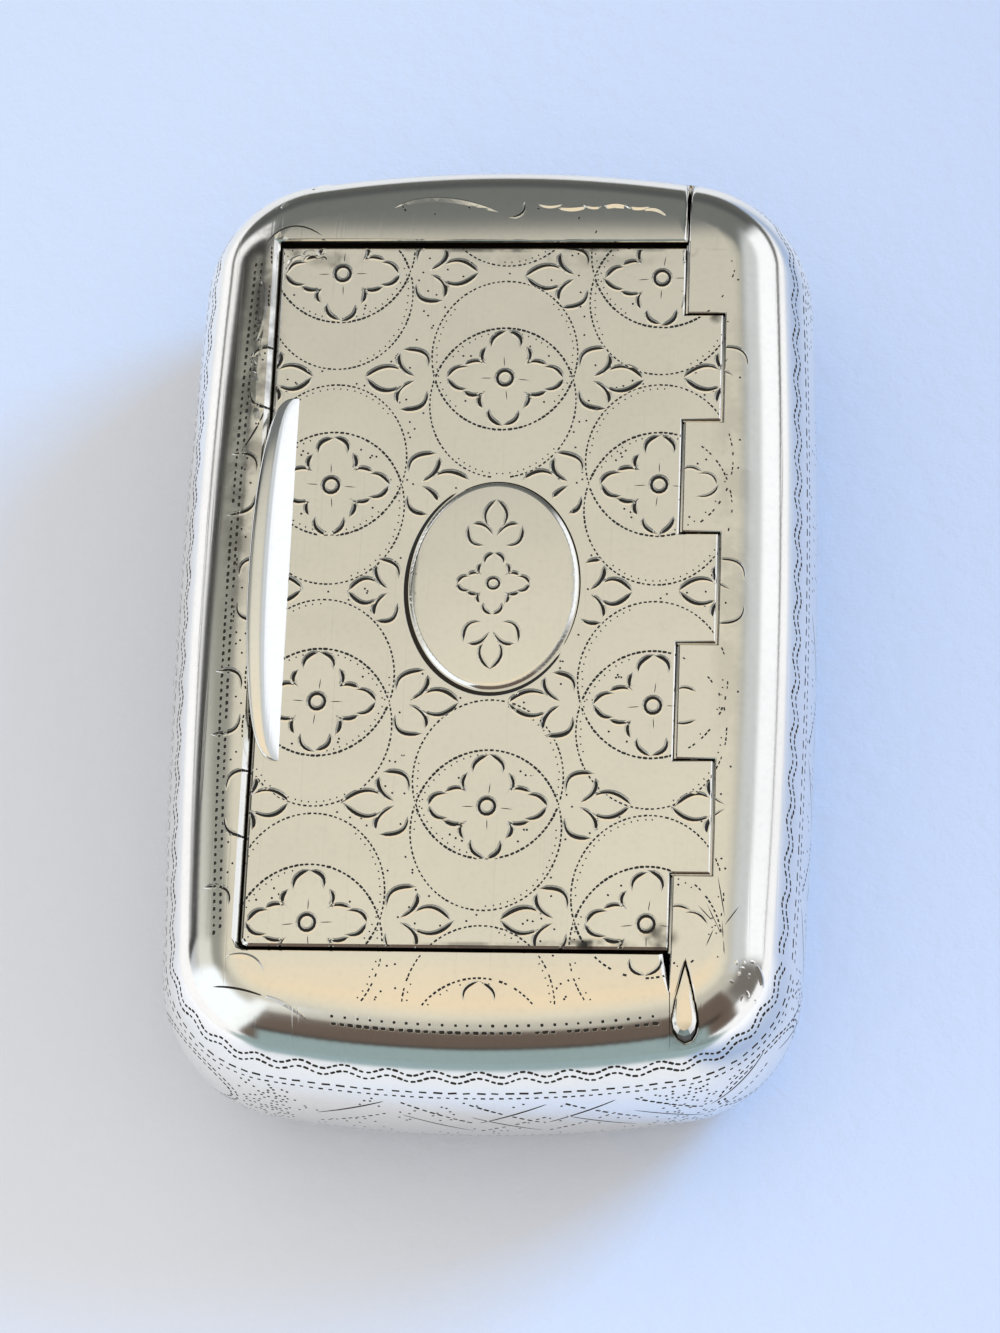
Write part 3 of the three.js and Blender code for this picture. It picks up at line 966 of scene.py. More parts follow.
def metal(name, colour, stain, roughness, streaks, waves):
    """A worn metal: dark in its cuts, uneven in polish, with fine scratches and slow waves."""
    material = bpy.data.materials.new(name)
    material.use_nodes = True
    nodes = Nodes(material.node_tree)
    where = nodes.place()
    x, y, _ = nodes.axes(where)
    clouds = nodes.noise(where, *CLOUDS)
    blotches = nodes.noise(where, *BLOTCHES)
    specks = nodes.noise(where, *SPECKS)
    # Dirt and painted shade: the seats and patches of the top are darkened to the stain colour
    dirt_and_shade = 0.0
    if name == "seat_gilding":
        dirt_and_shade = seat_dirt_and_shade(nodes, x, y)
    if name == "worn_silver":
        dirt_and_shade = top_dirt_and_shade(nodes, x, y, blotches)
    cut = nodes.add("ShaderNodeAttribute", {"attribute_name": "tarnish"}, output=2)
    dark = (nodes.between(cut, 0.0, 0.14) + dirt_and_shade).math("MINIMUM", 1.0)
    film = nodes.between(clouds, 0.42, 0.75) * 0.14 + nodes.between(blotches, 0.5, 0.75) * 0.06
    film = film + nodes.between(specks, 0.45, 0.75) * 0.1
    tone = nodes.blend(film, rgba(colour), rgba([c * 0.72 for c in colour]))
    scratches = 0.0
    for turn, scale in SCRATCH_WAYS:
        line = nodes.noise(nodes.place(scale, turn), *SCRATCHES)
        scratches = nodes.between(line, 0.66, 0.76) + scratches
    slow = nodes.noise(where, *WAVES)
    height = slow * waves - scratches * streaks
    bump = nodes.add("ShaderNodeBump", {}, {"Strength": 1.0, "Distance": 0.0001, "Height": height})
    uneven = (roughness * 0.75) + clouds * (roughness * 0.5) + scratches * 0.03
    shader = nodes.add("ShaderNodeBsdfPrincipled", {}, {
        "Base Color": tone, "Metallic": 1.0, "Roughness": uneven, "Normal": bump})
    dirt = nodes.add("ShaderNodeBsdfDiffuse", {}, {"Color": rgba(stain)})
    nodes.add("ShaderNodeOutputMaterial", {}, [nodes.add("ShaderNodeMixShader", {}, [dark, shader, dirt])])
    return material


# Places on the top darkened by dirt and by painted shade, most along the lid's edges and beside the
# thumbpiece: middle, half sizes and strength
DIRT_AND_SHADE_PATCHES = [
    (12.2, -25.2, 1.3, 1.1, 1.0), (7.6, -25.75, 3.4, 0.45, 1.0), (0.5, -25.85, 4.5, 0.25, 0.5),
    (-16.6, 14.0, 2.2, 16.0, 0.3), (-16.2, 18.0, 1.3, 9.0, 0.25), (-17.2, 5.0, 1.2, 12.0, 0.25),
    (16.4, 4.0, 1.6, 20.0, 0.14), (-11.5, 24.9, 2.2, 0.8, 0.5), (4.0, 24.9, 9.0, 0.7, 0.2),
    (12.6, 25.5, 1.3, 0.5, 0.9), (2.0, 25.75, 13.0, 0.3, 0.7), (-14.6, 25.6, 0.9, 0.6, 0.7),
    (14.95, 20.4, 0.5, 0.5, 0.8), (-16.4, 23.0, 0.8, 3.5, 0.25), (-16.0, 27.2, 1.6, 0.7, 0.3),
    (14.6, -31.6, 2.2, 0.8, 0.35), (-14.6, -25.9, 0.8, 0.5, 0.6),
]


# Pieces


def frame_edge(distances, inset):
    """Plan points round the case at an inset, for distances round the outline."""
    x, y, _, _ = outline_at(distances, inset)
    return list(zip(x.tolist(), y.tolist()))


def seam_point(side):
    """Where the seam meets the outer edge of the frame: side 1 is the far end and -1 the near end."""
    return SEAM_X, side * (END_CENTRE + math.sqrt((CORNER + END_REACH - RIM_INSET) ** 2 - SEAM_X * SEAM_X))


GIRTH_STEPS = 8001
# Insets at which the underside of the frame starts up its inner curve and comes to its flat
CURVE_INSETS = (2.56, 4.02)


def girth_to(x, y):
    """Distance round the outline to a point on it."""
    u = np.linspace(0, GIRTH, GIRTH_STEPS)
    px, py, _, _ = outline_at(u, RIM_INSET)
    return float(u[np.argmin(np.hypot(px - x, py - y))])


def edge_span(first, trim):
    """Distances, less a trim, of the seams at the first end and at the other, anticlockwise."""
    start, stop = girth_to(*seam_point(first)) + trim, girth_to(*seam_point(-first)) - trim
    return start, stop + (GIRTH if stop < start else 0)


def roll_edge(first):
    """The outer edge of a part of the frame, anticlockwise from its seam at the first end."""
    edge_points = frame_edge(np.linspace(*edge_span(first, 0), 200), RIM_INSET)
    edge_points[0] = seam_point(first)
    edge_points[-1] = seam_point(-first)
    return edge_points


def under_steps(first):
    """Lines where the underside of a part of the frame turns from its rim to its flat."""
    return [frame_edge(np.linspace(*edge_span(first, 2), 160), inset) for inset in CURVE_INSETS]


def roll_grid(step):
    """Points that let a sheet follow the roll and the crown of the frame."""
    points = []
    u = np.arange(0, GIRTH, step)
    for row, inset in enumerate((2.05, 2.4, 2.8, 3.25, 3.6, 4.1, 4.7, 5.2, 5.7)):
        points += frame_edge(u + (row % 2) * step / 2, inset)
    for side in (1, -1):
        for k in range(7):
            y = side * (OPEN_END + 0.3 + 0.42 * k)
            points += [(x, y) for x in np.arange(-17.5, 17.5, 0.9).tolist()]
    return points


def tongues(side_x, tongue_x, own):
    """The stepped hinge edge from near to far: own parts reach tongue_x and the others stay at side_x."""
    bounds = [edge(f"lid_knuckle_{k}", side, 1) for k in (1, 2, 3) for side in (0, 1)]
    points = []
    for index, y in enumerate(bounds):
        shift = TONGUE_GAP if (index % 2 == 0) == own else -TONGUE_GAP
        pair = [(side_x, y + shift), (tongue_x, y + shift)]
        points += pair if index % 2 == 0 else pair[::-1]
    return points


class SnuffBoxSizes(bpy.types.PropertyGroup):
    """Sizes of the engraving and of the edges."""

    line_width: bpy.props.FloatProperty(
        name="Line width", description="Widest part of an engraved line", default=0.25 * MM,
        unit="LENGTH", subtype="DISTANCE")
    line_depth: bpy.props.FloatProperty(
        name="Line depth", description="Depth of an engraved line where it is widest", default=0.085 * MM,
        unit="LENGTH", subtype="DISTANCE")
    burr: bpy.props.FloatProperty(
        name="Burr height", description="Height of the metal pushed up beside a stroke", default=0.014 * MM,
        unit="LENGTH", subtype="DISTANCE")
    dot_size: bpy.props.FloatProperty(
        name="Dash width", description="Width of one dash of a dotted circle", default=0.125 * MM,
        unit="LENGTH", subtype="DISTANCE")
    dot_depth: bpy.props.FloatProperty(
        name="Dash depth", description="Depth of one dash of a dotted circle", default=0.055 * MM,
        unit="LENGTH", subtype="DISTANCE")
    bevel: bpy.props.FloatProperty(
        name="Edge bevel", description="Width of the worn edge of the lid and its opening", default=0.17 * MM,
        unit="LENGTH", subtype="DISTANCE")
    bevel_drop: bpy.props.FloatProperty(
        name="Edge drop", description="How far the worn edge falls", default=0.13 * MM,
        unit="LENGTH", subtype="DISTANCE")


class SnuffBoxColours(bpy.types.PropertyGroup):
    """Colours of the metals and of the floor."""

    silver: bpy.props.FloatVectorProperty(
        name="Silver", description="Polished silver", default=(0.93, 0.92, 0.90), subtype="COLOR")
    worn_silver: bpy.props.FloatVectorProperty(
        name="Worn silver", description="Handled silver of the top", default=(0.90, 0.875, 0.82),
        subtype="COLOR")
    tarnish: bpy.props.FloatVectorProperty(
        name="Tarnish", description="Dark silver in the cuts", default=(0.045, 0.038, 0.028), subtype="COLOR")
    gilt: bpy.props.FloatVectorProperty(
        name="Gilding", description="Gilded inside", default=(0.83, 0.60, 0.27), subtype="COLOR")
    floor: bpy.props.FloatVectorProperty(
        name="Floor", description="Pale paper under the box", default=(0.86, 0.87, 0.88), subtype="COLOR")
    # Painted shade: the paper takes this darker colour towards the right, where the light is weaker
    floor_shade: bpy.props.FloatVectorProperty(
        name="Floor at the right", description="Paper at the right of the box", default=(0.74, 0.75, 0.79),
        subtype="COLOR")


def finishes(*names):
    """The materials of these names. All are made when the first is wanted."""
    colours = bpy.context.scene.snuff_box_colours
    if "worn_silver" not in bpy.data.materials:
        # Each with its colour, the dark in its cuts, roughness, depth of scratches and height of waves
        metal("worn_silver", colours.worn_silver, colours.tarnish, 0.14, 0.02, 0.35)
        metal("bright_silver", colours.silver, colours.tarnish, 0.1, 0.015, 0.2)
        metal("tube_silver", [c * 0.8 for c in colours.silver], colours.tarnish, 0.25, 0.08, 0.2)
        metal("gilding", colours.gilt, [c * 0.4 for c in colours.gilt], 0.22, 0.05, 0.2)
        metal("seat_gilding", colours.gilt, colours.tarnish, 0.25, 0.05, 0.2)
        # Walls of the plates in the seams: dark metal for dirt and for painted shade in the gaps
        metal("joint_dirt_and_shade", [c * 2 for c in colours.tarnish], colours.tarnish, 0.4, 0.05, 0.2)
    return [bpy.data.materials[name] for name in names]


# Crumpled metal at the lid's far corner on the thumbpiece side: path, width, and depth, below zero for ridges
LID_WRINKLES = [
    (((-14.85, 23.9), (-14.6, 24.8), (-13.7, 25.3)), 0.32, -0.07),
    (((-13.8, 25.1), (-13.5, 25.55), (-12.9, 25.6)), 0.26, -0.08),
    (((-12.9, 25.65), (-12.5, 25.3), (-12.2, 25.6)), 0.22, -0.07),
    (((-13.5, 24.9), (-13.1, 25.2), (-12.7, 24.95)), 0.16, 0.06),
    (((-12.75, 24.95), (-12.3, 25.15), (-12.1, 24.9)), 0.14, 0.06),
]


class SNUFFBOX_OT_lid(bpy.types.Operator):
    """Make the engraved lid plate with its hinge tongues"""

    bl_idname = "snuffbox.lid"
    bl_label = "Lid"

    def execute(self, context):
        sizes = context.scene.snuff_box_sizes
        bevel = sizes.bevel / MM
        near, far = -LID_END + 0.05, LID_END - 0.2
        hinge = tongues(LID_SEAM, TONGUE_X - 0.03, True)
        corner = [(LID_FRONT, near + 0.45), (LID_FRONT + 0.13, near + 0.13), (LID_FRONT + 0.45, near)]
        loop = [*corner, (LID_SEAM, near), *hinge, (LID_SEAM, far), (LID_FRONT, far)]
        bevels = [bevel] * 3 + [bevel * JOINT_BEVEL] * (len(hinge) + 1) + [bevel, bevel]
        clear = plaque_shape(PLAQUE_MARGIN)
        cuts = [c for c in top_engraving(sizes)
                if not any(in_ellipse(*p, *clear) for p in (c[1][0], c[1][-1]))]
        wrinkles = Engraving()
        for path, width, depth in LID_WRINKLES:
            wrinkles.stroke(curve(path, 8), width, depth)
        cuts = clear_of_strokes(cuts, DOT_GAP) + plaque_joint_and_shade() + wrinkles.cuts
        sheet = Sheet([loop], cuts, [], [bevels], sizes.bevel_drop / MM)

        def under(x, y):
            return np.interp(x, LID_STEP, [LID_UNDER, TUBE_TOP])

        strip = [[(x, near + 0.001), (x, far - 0.001)] for x in LID_STEP]
        materials = finishes("worn_silver", "gilding", "joint_dirt_and_shade")
        obj = plate("engraved_lid", sheet, top_surface, under, materials, strip)
        ride(obj, "lid", "engraved_silver", "lid_plate")
        return {"FINISHED"}


def plaque_shape(margin):
    """Middle and half sizes of the plaque, widened by a margin."""
    low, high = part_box("cartouche_plaque")
    cx, cy = (low.x + high.x) / 2 / MM, (low.y + high.y) / 2 / MM
    return cx, cy, (high.x - low.x) / 2 / MM + margin, (high.y - low.y) / 2 / MM + margin


# Stretches of the groove round the plaque: first and last angle in degrees, and width. The wide stretch is
# painted shade
GROOVE = [(118, 322, 0.36), (326, 474, 0.12)]
GROOVE_DEPTH = 0.09


def plaque_joint_and_shade():
    """A dark joint round the plaque, widened as painted shade on the side away from the hinge and at the near
    end.
    """
    cx, cy, rx, ry = plaque_shape(0.14)
    cuts = Engraving()
    for first, last, width in GROOVE:
        angles = np.radians(np.linspace(first, last, 60)).tolist()
        out = width / 2 - 0.1
        path = [(cx + (rx + out) * math.cos(a), cy + (ry + out) * math.sin(a)) for a in angles]
        cuts.stroke(path, width, GROOVE_DEPTH)
    return cuts.cuts


def top_wear(x, y):
    """How likely a cut of the top's pattern is to be worn away, by its place on the frame."""
    if y > OPEN_END:
        return 0.95
    if x > SEAM_X:
        return 0.95 if y > 19 or y < -25 else 0.4
    if y < -OPEN_END and x < -8.8:
        return 1.0
    if y < -OPEN_END and abs(x - 0.5) < 5.2:
        return 0.08
    if y < -OPEN_END:
        return 0.4 + 0.5 * math.sin(0.55 * x + 2.2) * math.sin(0.8 * y)
    return 0.12


def border_wear(x, y):
    """How likely a dash of the border is to be worn away."""
    if x > 15 or (x < -9.4 and y < -25.5) or (abs(x) > 12.5 and abs(y) > 25.5):
        return 1.0
    return 0.95 if y > 19 and (x > 0 or y > 25) else 0.03


def on_frame(x, y):
    """Whether a cut of the top's pattern lies on the flat of the frame."""
    inset = float(plan(np.array([x]), np.array([y]))[0][0])
    return inset >= 4.95 and not (OPEN_FRONT - 0.5 < x < SEAM_X and abs(y) < OPEN_END + 0.2)


def worn_pattern(sizes, thin):
    """What is cut in the frame: the worn pattern and border, with the marks of making and use."""
    chance = random.Random(WEAR_SEED)
    kept = []
    for cut in top_engraving(sizes, thin):
        middle = cut[1][len(cut[1]) // 2]
        if on_frame(*middle) and chance.random() > top_wear(*middle):
            kept.append(cut)
    border = [cut for cut in border_engraving() if chance.random() > border_wear(*cut[1][0])]
    return clear_of_strokes(kept, DOT_GAP) + border + frame_marks(chance)


def frame_marks(chance):
    """Solder seams, star-shaped scratches, ridges, and raised specks at the near corner by the hinge."""
    marks = Engraving()
    for path in SOLDER_SEAMS:
        marks.stroke(curve(path, 10), 0.15, 0.04)
    for x, y, angle, reach in STAR_SCRATCHES:
        c, s = math.cos(angle), math.sin(angle)
        marks.stroke([(x + c * reach * t, y + s * reach * t) for t in (-0.5, -0.2, 0.2, 0.5)], 0.08, 0.03)
    for path, width, height in DENT_RIDGES:
        marks.stroke(curve(path, 12), width, -height, lean=0.4)
    for _ in range(12):
        x, y, angle = chance.uniform(16.7, 18.8), chance.uniform(-29.4, -26.2), chance.uniform(0, math.pi)
        c, s = 0.2 * math.cos(angle), 0.2 * math.sin(angle)
        marks.stroke(curve(((x - c, y - s), (x, y), (x + c, y + s)), 4), 0.24, chance.uniform(-0.03, -0.01))
    return marks.cuts


# Thin lines left where the strips were soldered, and scratches on the rail: middle, angle and length
SOLDER_SEAMS = [
    ((-17.0, -28.65), (-15.2, -28.95), (-13.4, -29.5)),
    ((-16.6, 26.0), (-14.7, 27.6), (-12.4, 26.75)),
    ((-15.75, 13.3), (-16.4, 11.6), (-17.4, 9.9)),
]
STAR_SCRATCHES = [
    (16.2, -22.3, 1.75, 3.2), (15.3, -23.6, 2.3, 2.0), (15.9, -24.2, 2.0, 3.4), (16.4, -25.4, 1.65, 3.2),
    (16.9, -23.6, 1.0, 1.8), (15.5, -25.2, 1.2, 1.4), (14.9, 20.4, 1.3, 0.9), (15.6, 17.0, 0.9, 0.8),
]
# Low ridges of old dents and solder on the frame: path, width and height
DENT_RIDGES = [
    (((-16.2, -26.9), (-14.6, -26.9), (-13.6, -27.9)), 0.5, 0.05),
    (((18.5, -26.6), (18.8, -27.2), (18.9, -27.9)), 0.4, 0.05),
    (((2.4, 29.45), (3.2, 29.2), (4.1, 29.4)), 0.26, 0.05),
    (((3.8, 29.1), (4.9, 29.0), (5.9, 29.25)), 0.36, 0.08),
    (((5.5, 29.4), (6.3, 29.1), (7.2, 29.35)), 0.22, 0.06),
    (((6.6, 28.95), (7.8, 29.3), (9.0, 28.95)), 0.42, 0.1),
    (((8.4, 29.4), (9.2, 29.05), (10.2, 29.2)), 0.28, 0.08),
    (((9.8, 28.9), (10.6, 28.95), (11.3, 28.45)), 0.32, 0.07),
    (((-13.6, -29.4), (-12.0, -30.0), (-10.6, -30.9)), 0.3, 0.05),
    (((-13.6, 31.3), (-12.9, 31.9), (-12.3, 32.3)), 0.5, 0.07),
    (((-15.6, 29.4), (-15.3, 29.7), (-15.0, 29.9)), 0.4, 0.06),
    (((-7.6, 29.1), (-4.4, 29.85), (-0.3, 28.75)), 0.5, 0.05),
    (((-16.2, 19.5), (-16.6, 15.5), (-16.1, 12.0)), 0.6, 0.04),
    (((-17.0, 24.0), (-16.3, 21.5), (-16.9, 18.0)), 0.5, 0.05),
]


# What wear has left of the pattern's strength on the front and end strips, and on the hinge rail
STRIPS_THIN = 0.85
RAIL_THIN = 0.6


class SNUFFBOX_OT_frame(bpy.types.Operator):
    """Make the rolled top frame in its two parts, with the worn pattern and border"""

    bl_idname = "snuffbox.frame"
    bl_label = "Top frame"

    def execute(self, context):
        sizes = context.scene.snuff_box_sizes
        bevel, drop = sizes.bevel / MM, sizes.bevel_drop / MM
        materials = finishes("worn_silver", "gilding", "joint_dirt_and_shade")
        near, far, seam = -OPEN_END, OPEN_END + 0.12, SEAM_X
        seam_end = (seam, near - 2.4)
        outer = roll_edge(1)
        # The opening's own edges, each with its share of the lid's bevel
        inner = [seam_end, (seam - 0.5, near), (OPEN_FRONT + 0.5, near),
                 (OPEN_FRONT + 0.15, near + 0.15), (OPEN_FRONT, near + 0.5), (OPEN_FRONT, far),
                 (seam - 0.05, far)]
        bevels = [0.0] * len(outer)
        bevels += [bevel * share for share in (1.6, 0.7, 0.9, 1.6, 2.5, 0.8, 1.6)]
        sheet = Sheet([outer + inner], worn_pattern(sizes, STRIPS_THIN), roll_grid(0.8), [bevels], drop * 2.2)
        obj = plate("frame_strips", sheet, top_surface, rim_under, materials, under_steps(1))
        ride(obj, "case", "engraved_silver", "frame_front_strip", "frame_far_strip", "frame_near_strip")

        outer = roll_edge(-1)
        outer[-1] = (seam + 0.05, outer[-1][1])
        hinge = tongues(SEAM_X + 0.03, TONGUE_X + 0.13, False)[::-1]
        loop = outer + [(seam + 0.02, far), *hinge, (seam + 0.02, near), seam_end]
        bevels = [0.0] * (len(outer) - 1) + [bevel * 0.4]
        bevels += [bevel * JOINT_BEVEL] * (len(hinge) + 1) + [0.05, 0.0]
        plug = plug_outline(0.055)
        sheet = Sheet([loop, plug[::-1]], worn_pattern(sizes, RAIL_THIN), roll_grid(0.8),
                      [bevels, [0.08] * len(plug)], drop * JOINT_BEVEL)

        def under_rail(x, y):
            step = np.interp(x, RAIL_STEP, [TUBE_TOP, FRAME_UNDER])
            return np.where((np.abs(y) < OPEN_END) & (x < RAIL_STEP[1]), step, rim_under(x, y))

        steps = under_steps(-1)
        steps += [[(x, -OPEN_END), (x, OPEN_END)] for x in RAIL_STEP]
        steps += [[(SEAM_X + 0.1, s * OPEN_END), (RAIL_STEP[1], s * OPEN_END)] for s in (1, -1)]
        obj = plate("hinge_rail", sheet, top_surface, under_rail, materials, steps)
        ride(obj, "case", "engraved_silver", "frame_hinge_rail")
        return {"FINISHED"}


def plug_outline(gap):
    """The pointed plug as it shows in the near end of the hinge rail."""
    half = [(-26.8, 0.0), (-27.6, 0.19), (-28.4, 0.37), (-29.3, 0.57), (-30.1, 0.72), (-30.7, 0.78),
            (-31.2, 0.68), (-31.55, 0.42), (-31.7, 0.0)]
    right = [(PLUG_X + w + (gap * 1.8 if w else 0), y) for y, w in half]
    left = [(PLUG_X - w - gap, y) for y, w in half[1:-1]]
    right[0] = (PLUG_X, half[0][0] + 2 * gap)
    right[-1] = (PLUG_X, half[-1][0] - gap)
    return left + right[::-1]


def nearest(flat, wanted, axis, places):
    """For each place along an axis, the wanted point closest to it."""
    row = np.where(wanted)[0]
    return [int(row[np.argmin(np.abs(flat[row, axis] - place))]) for place in places]


class SNUFFBOX_OT_band(bpy.types.Operator):
    """Make the side band with its engraved borders, zigzags and corner reserves"""

    bl_idname = "snuffbox.band"
    bl_label = "Side band"

    def execute(self, context):
        low, high = reach_of(FOOT), reach_of(RIM)
        columns = BAND_COLUMNS
        edge_u = np.linspace(0, GIRTH, columns + 1)
        levels = np.linspace(low, high, OUTER_ROWS)[1:-1].tolist()
        loop = [(u, low) for u in edge_u.tolist()] + [(GIRTH, v) for v in levels]
        loop += [(u, high) for u in edge_u[::-1].tolist()]
        loop += [(0.0, v) for v in np.linspace(high, low, OUTER_ROWS)[1:-1].tolist()]
        grid = []
        for row, v in enumerate(levels):
            shift = (row % 2) * 0.5
            grid += [(GIRTH * (k + shift) / columns, v) for k in range(1 if not shift else 0, columns)]
        flat, cut, faces = Sheet([loop], band_engraving(), grid).triangulate()
        points, normals = side_surface(flat[:, 0], flat[:, 1])
        points = points - normals * cut[:, None]
        shell = Shell()
        shell.add_points(points, np.clip(cut / DARK_DEPTH, 0, 1))
        weld = np.arange(len(flat))
        closing = np.where(flat[:, 0] > GIRTH - 0.01)[0]
        weld[closing] = nearest(flat, np.abs(flat[:, 0]) < 0.01, 1, flat[closing, 1])
        worked = (cut[faces] > 0).any(1)
        shell.add_faces(weld[faces[~worked]], normals[faces[~worked]], 0)
        shell.add_faces(weld[faces[worked]], None, 0)

        lowest, highest = band_inside(shell, edge_u[:-1], low, high)
        rims = []
        for v, base, flip in ((low, lowest, False), (high, highest, True)):
            ids = nearest(flat, np.abs(flat[:, 1] - v) < 1e-3, 0, edge_u[:-1])
            for k in range(columns):
                n = (k + 1) % columns
                a, b, c, d = ids[k], ids[n], base + n, base + k
                pair = [(a, c, b), (a, d, c)]
                rims += [p[::-1] for p in pair] if flip else pair
        shell.add_faces(rims, None, 0)
        obj = shell.build("engraved_band", finishes("bright_silver", "gilding"))
        ride(obj, "case", "polished_silver", "side_band")
        return {"FINISHED"}


# Points round the band, and rows of points up its outside and its inside
BAND_COLUMNS = 258
OUTER_ROWS = 19
INNER_ROWS = 9


def band_inside(shell, around, low, high):
    """Adds the gilt inside of the band, and says where its lowest and highest rows of points start."""
    rows = np.linspace(low, high, INNER_ROWS)
    grid_v = np.repeat(rows, BAND_COLUMNS)
    inner, normals = side_surface(np.tile(around, INNER_ROWS), grid_v, WALL)
    inner[:, 2] = np.where(grid_v == rows[0], FOOT, inner[:, 2])
    start = shell.add_points(inner, np.zeros(len(inner)))
    faces = []
    for row in range(0, (INNER_ROWS - 1) * BAND_COLUMNS, BAND_COLUMNS):
        for k in range(BAND_COLUMNS):
            a, b = row + k, row + (k + 1) % BAND_COLUMNS
            faces += [(a + BAND_COLUMNS, b + BAND_COLUMNS, b), (a + BAND_COLUMNS, b, a)]
    faces = np.array(faces)
    shell.add_faces(faces + start, -normals[faces], 1)
    return start, start + (INNER_ROWS - 1) * BAND_COLUMNS


BAND_DEPTH = 0.045
HALF_ZIGZAG = 5.4
# Middle height and half sizes of the plain ovals, as far as the stipple keeps off them
OVAL = (0.1, 4.3, 3.2)
# Tries at a dot on the whole side and beside each oval
BAND_TRIES = 3000
OVAL_TRIES = 220
# Closest that two cuts may start, and that a dot may come to the middle of a stroke
BAND_SPACE = 0.26
BAND_GAP = 0.24


def band_engraving():
    """Borders, zigzags, stipple and four plain ovals round the side."""
    chance = random.Random(BAND_SEED)
    cuts = Engraving()
    along = np.arange(0.3, GIRTH - 0.3, 0.12).tolist()

    def row(level, wave, pitch, length, width):
        line = [(u, level + wave * math.sin(2 * math.pi * u / 3.0)) for u in along]
        rouletted(cuts, line, pitch, length, width, BAND_DEPTH, chance)

    for side in (1, -1):
        for shift in (0.3, -0.3):
            row(side * 5.85 + shift, 0.25, 0.48, 0.42, 0.21)
        row(side * 4.25, 0.0, 0.95, 0.8, 0.19)
        row(side * 3.7, 0.0, 0.6, 0.42, 0.17)
    legs = [(k * HALF_ZIGZAG, (k + 1) * HALF_ZIGZAG, k % 2 == 0) for k in range(-5, 5)]
    for middle, reach in zip(SIDE_MIDDLES, (25.5, 14.2, 25.5, 14.2)):
        for high, low, size, first in ((3.25, 0.0, 0.2, True), (1.5, -1.75, 0.17, False)):
            for start, stop, climbs in legs:
                if max(abs(start), abs(stop)) > reach + 1.5:
                    continue
                line = []
                for k in range(25):
                    t = 0.03 + 0.87 * k / 24
                    at = start + (stop - start) * (t if climbs else 1 - t)
                    line.append(((middle + at) % GIRTH, low + (high - low) * t))
                if max(p[0] for p in line) - min(p[0] for p in line) > GIRTH / 2:
                    continue
                if climbs == first:
                    cuts.stroke(line, size * 0.9, BAND_DEPTH)
                else:
                    rouletted(cuts, line, 0.55, 0.44, size, BAND_DEPTH, chance)
    for corner in CORNER_MIDDLES:
        for rx, ry in ((3.9, 2.9), (3.45, 2.45)):
            loop = [(corner + rx * math.cos(a), OVAL[0] + ry * math.sin(a)) for a in turns(80)]
            rouletted(cuts, loop + loop[:1], 0.5, 0.4, 0.18, BAND_DEPTH, chance)
    for _ in range(BAND_TRIES):
        u, v = chance.uniform(0.3, GIRTH - 0.3), chance.uniform(-3.3, 3.3)
        if any(in_ellipse(u, v, corner, *OVAL) for corner in CORNER_MIDDLES):
            continue
        if math.sin(u * 0.65) * math.sin(v * 1.3) > -0.2 and chance.random() < 0.4:
            cuts.pit(u, v, 0.2, 0.18, chance.uniform(0, 3), 0.04)
    for corner in CORNER_MIDDLES:
        for _ in range(OVAL_TRIES):
            u = corner + chance.choice((-1, 1)) * chance.uniform(4.3, 7.6)
            cuts.pit(u, chance.uniform(-3.0, 3.3), 0.22, 0.19, chance.uniform(0, 3), 0.04)
    return clear_of_strokes(spaced(cuts.cuts, BAND_SPACE), BAND_GAP)


def spaced(cuts, gap):
    """Keeps the first of any two cuts that start too close to each other."""
    kept, cells = [], {}
    for cut in cuts:
        u, v = cut[1][0]
        key = (int(u / gap), int(v / gap))
        close = any(
            math.hypot(u - a, v - b) < gap
            for i in (-1, 0, 1) for j in (-1, 0, 1)
            for a, b in cells.get((key[0] + i, key[1] + j), ())
        )
        if not close:
            cells.setdefault(key, []).append((u, v))
            kept.append(cut)
    return kept


# Smaller pieces


def only(obj):
    """Makes one object the selected and active one."""
    bpy.ops.object.select_all(action="DESELECT")
    obj.select_set(True)
    bpy.context.view_layer.objects.active = obj


def modify(obj, kind, **settings):
    """Adds a modifier with its settings and applies it."""
    only(obj)
    modifier = obj.modifiers.new(kind.lower(), kind)
    for key, value in settings.items():
        setattr(modifier, key, value)
    bpy.ops.object.modifier_apply(modifier=modifier.name)


def rod(name, near, far, radius):
    """A round rod on the hinge's axis."""
    bpy.ops.object.select_all(action="DESELECT")
    bpy.ops.mesh.primitive_cylinder_add(
        vertices=48, radius=radius * MM, depth=(far - near) * MM,
        location=(AXIS_X * MM, (near + far) / 2 * MM, AXIS_Z * MM), rotation=(math.pi / 2, 0, 0))
    bpy.ops.object.transform_apply(location=True, rotation=True, scale=True)
    obj = bpy.context.object
    obj.name = name
    return obj


def soften(obj, width, segments=2):
    """Rounds the sharp edges of a piece and shades it smooth."""
    modify(obj, "BEVEL", width=width * MM, segments=segments, limit_method="ANGLE",
           angle_limit=math.radians(35))
    only(obj)
    bpy.ops.object.shade_smooth_by_angle(angle=math.radians(40))


def subtract(obj, cutter):
    """Cuts one object out of another and removes it."""
    modify(obj, "BOOLEAN", operation="DIFFERENCE", object=cutter, solver="EXACT")
    bpy.data.objects.remove(cutter)


def finish(obj, material, body, slot, *nodes):
    """Gives a piece its one material, the body it moves with, and hides the solids it stands for."""
    obj.data.materials.clear()
    obj.data.materials.append(*finishes(material))
    ride(obj, body, slot, *nodes)


def flatten_top(obj, level):
    """Cuts everything above a level away and closes the cut."""
    only(obj)
    bpy.ops.object.mode_set(mode="EDIT")
    bpy.ops.mesh.select_all(action="SELECT")
    bpy.ops.mesh.bisect(plane_co=(0, 0, level * MM), plane_no=(0, 0, 1), use_fill=True, clear_outer=True)
    bpy.ops.object.mode_set(mode="OBJECT")


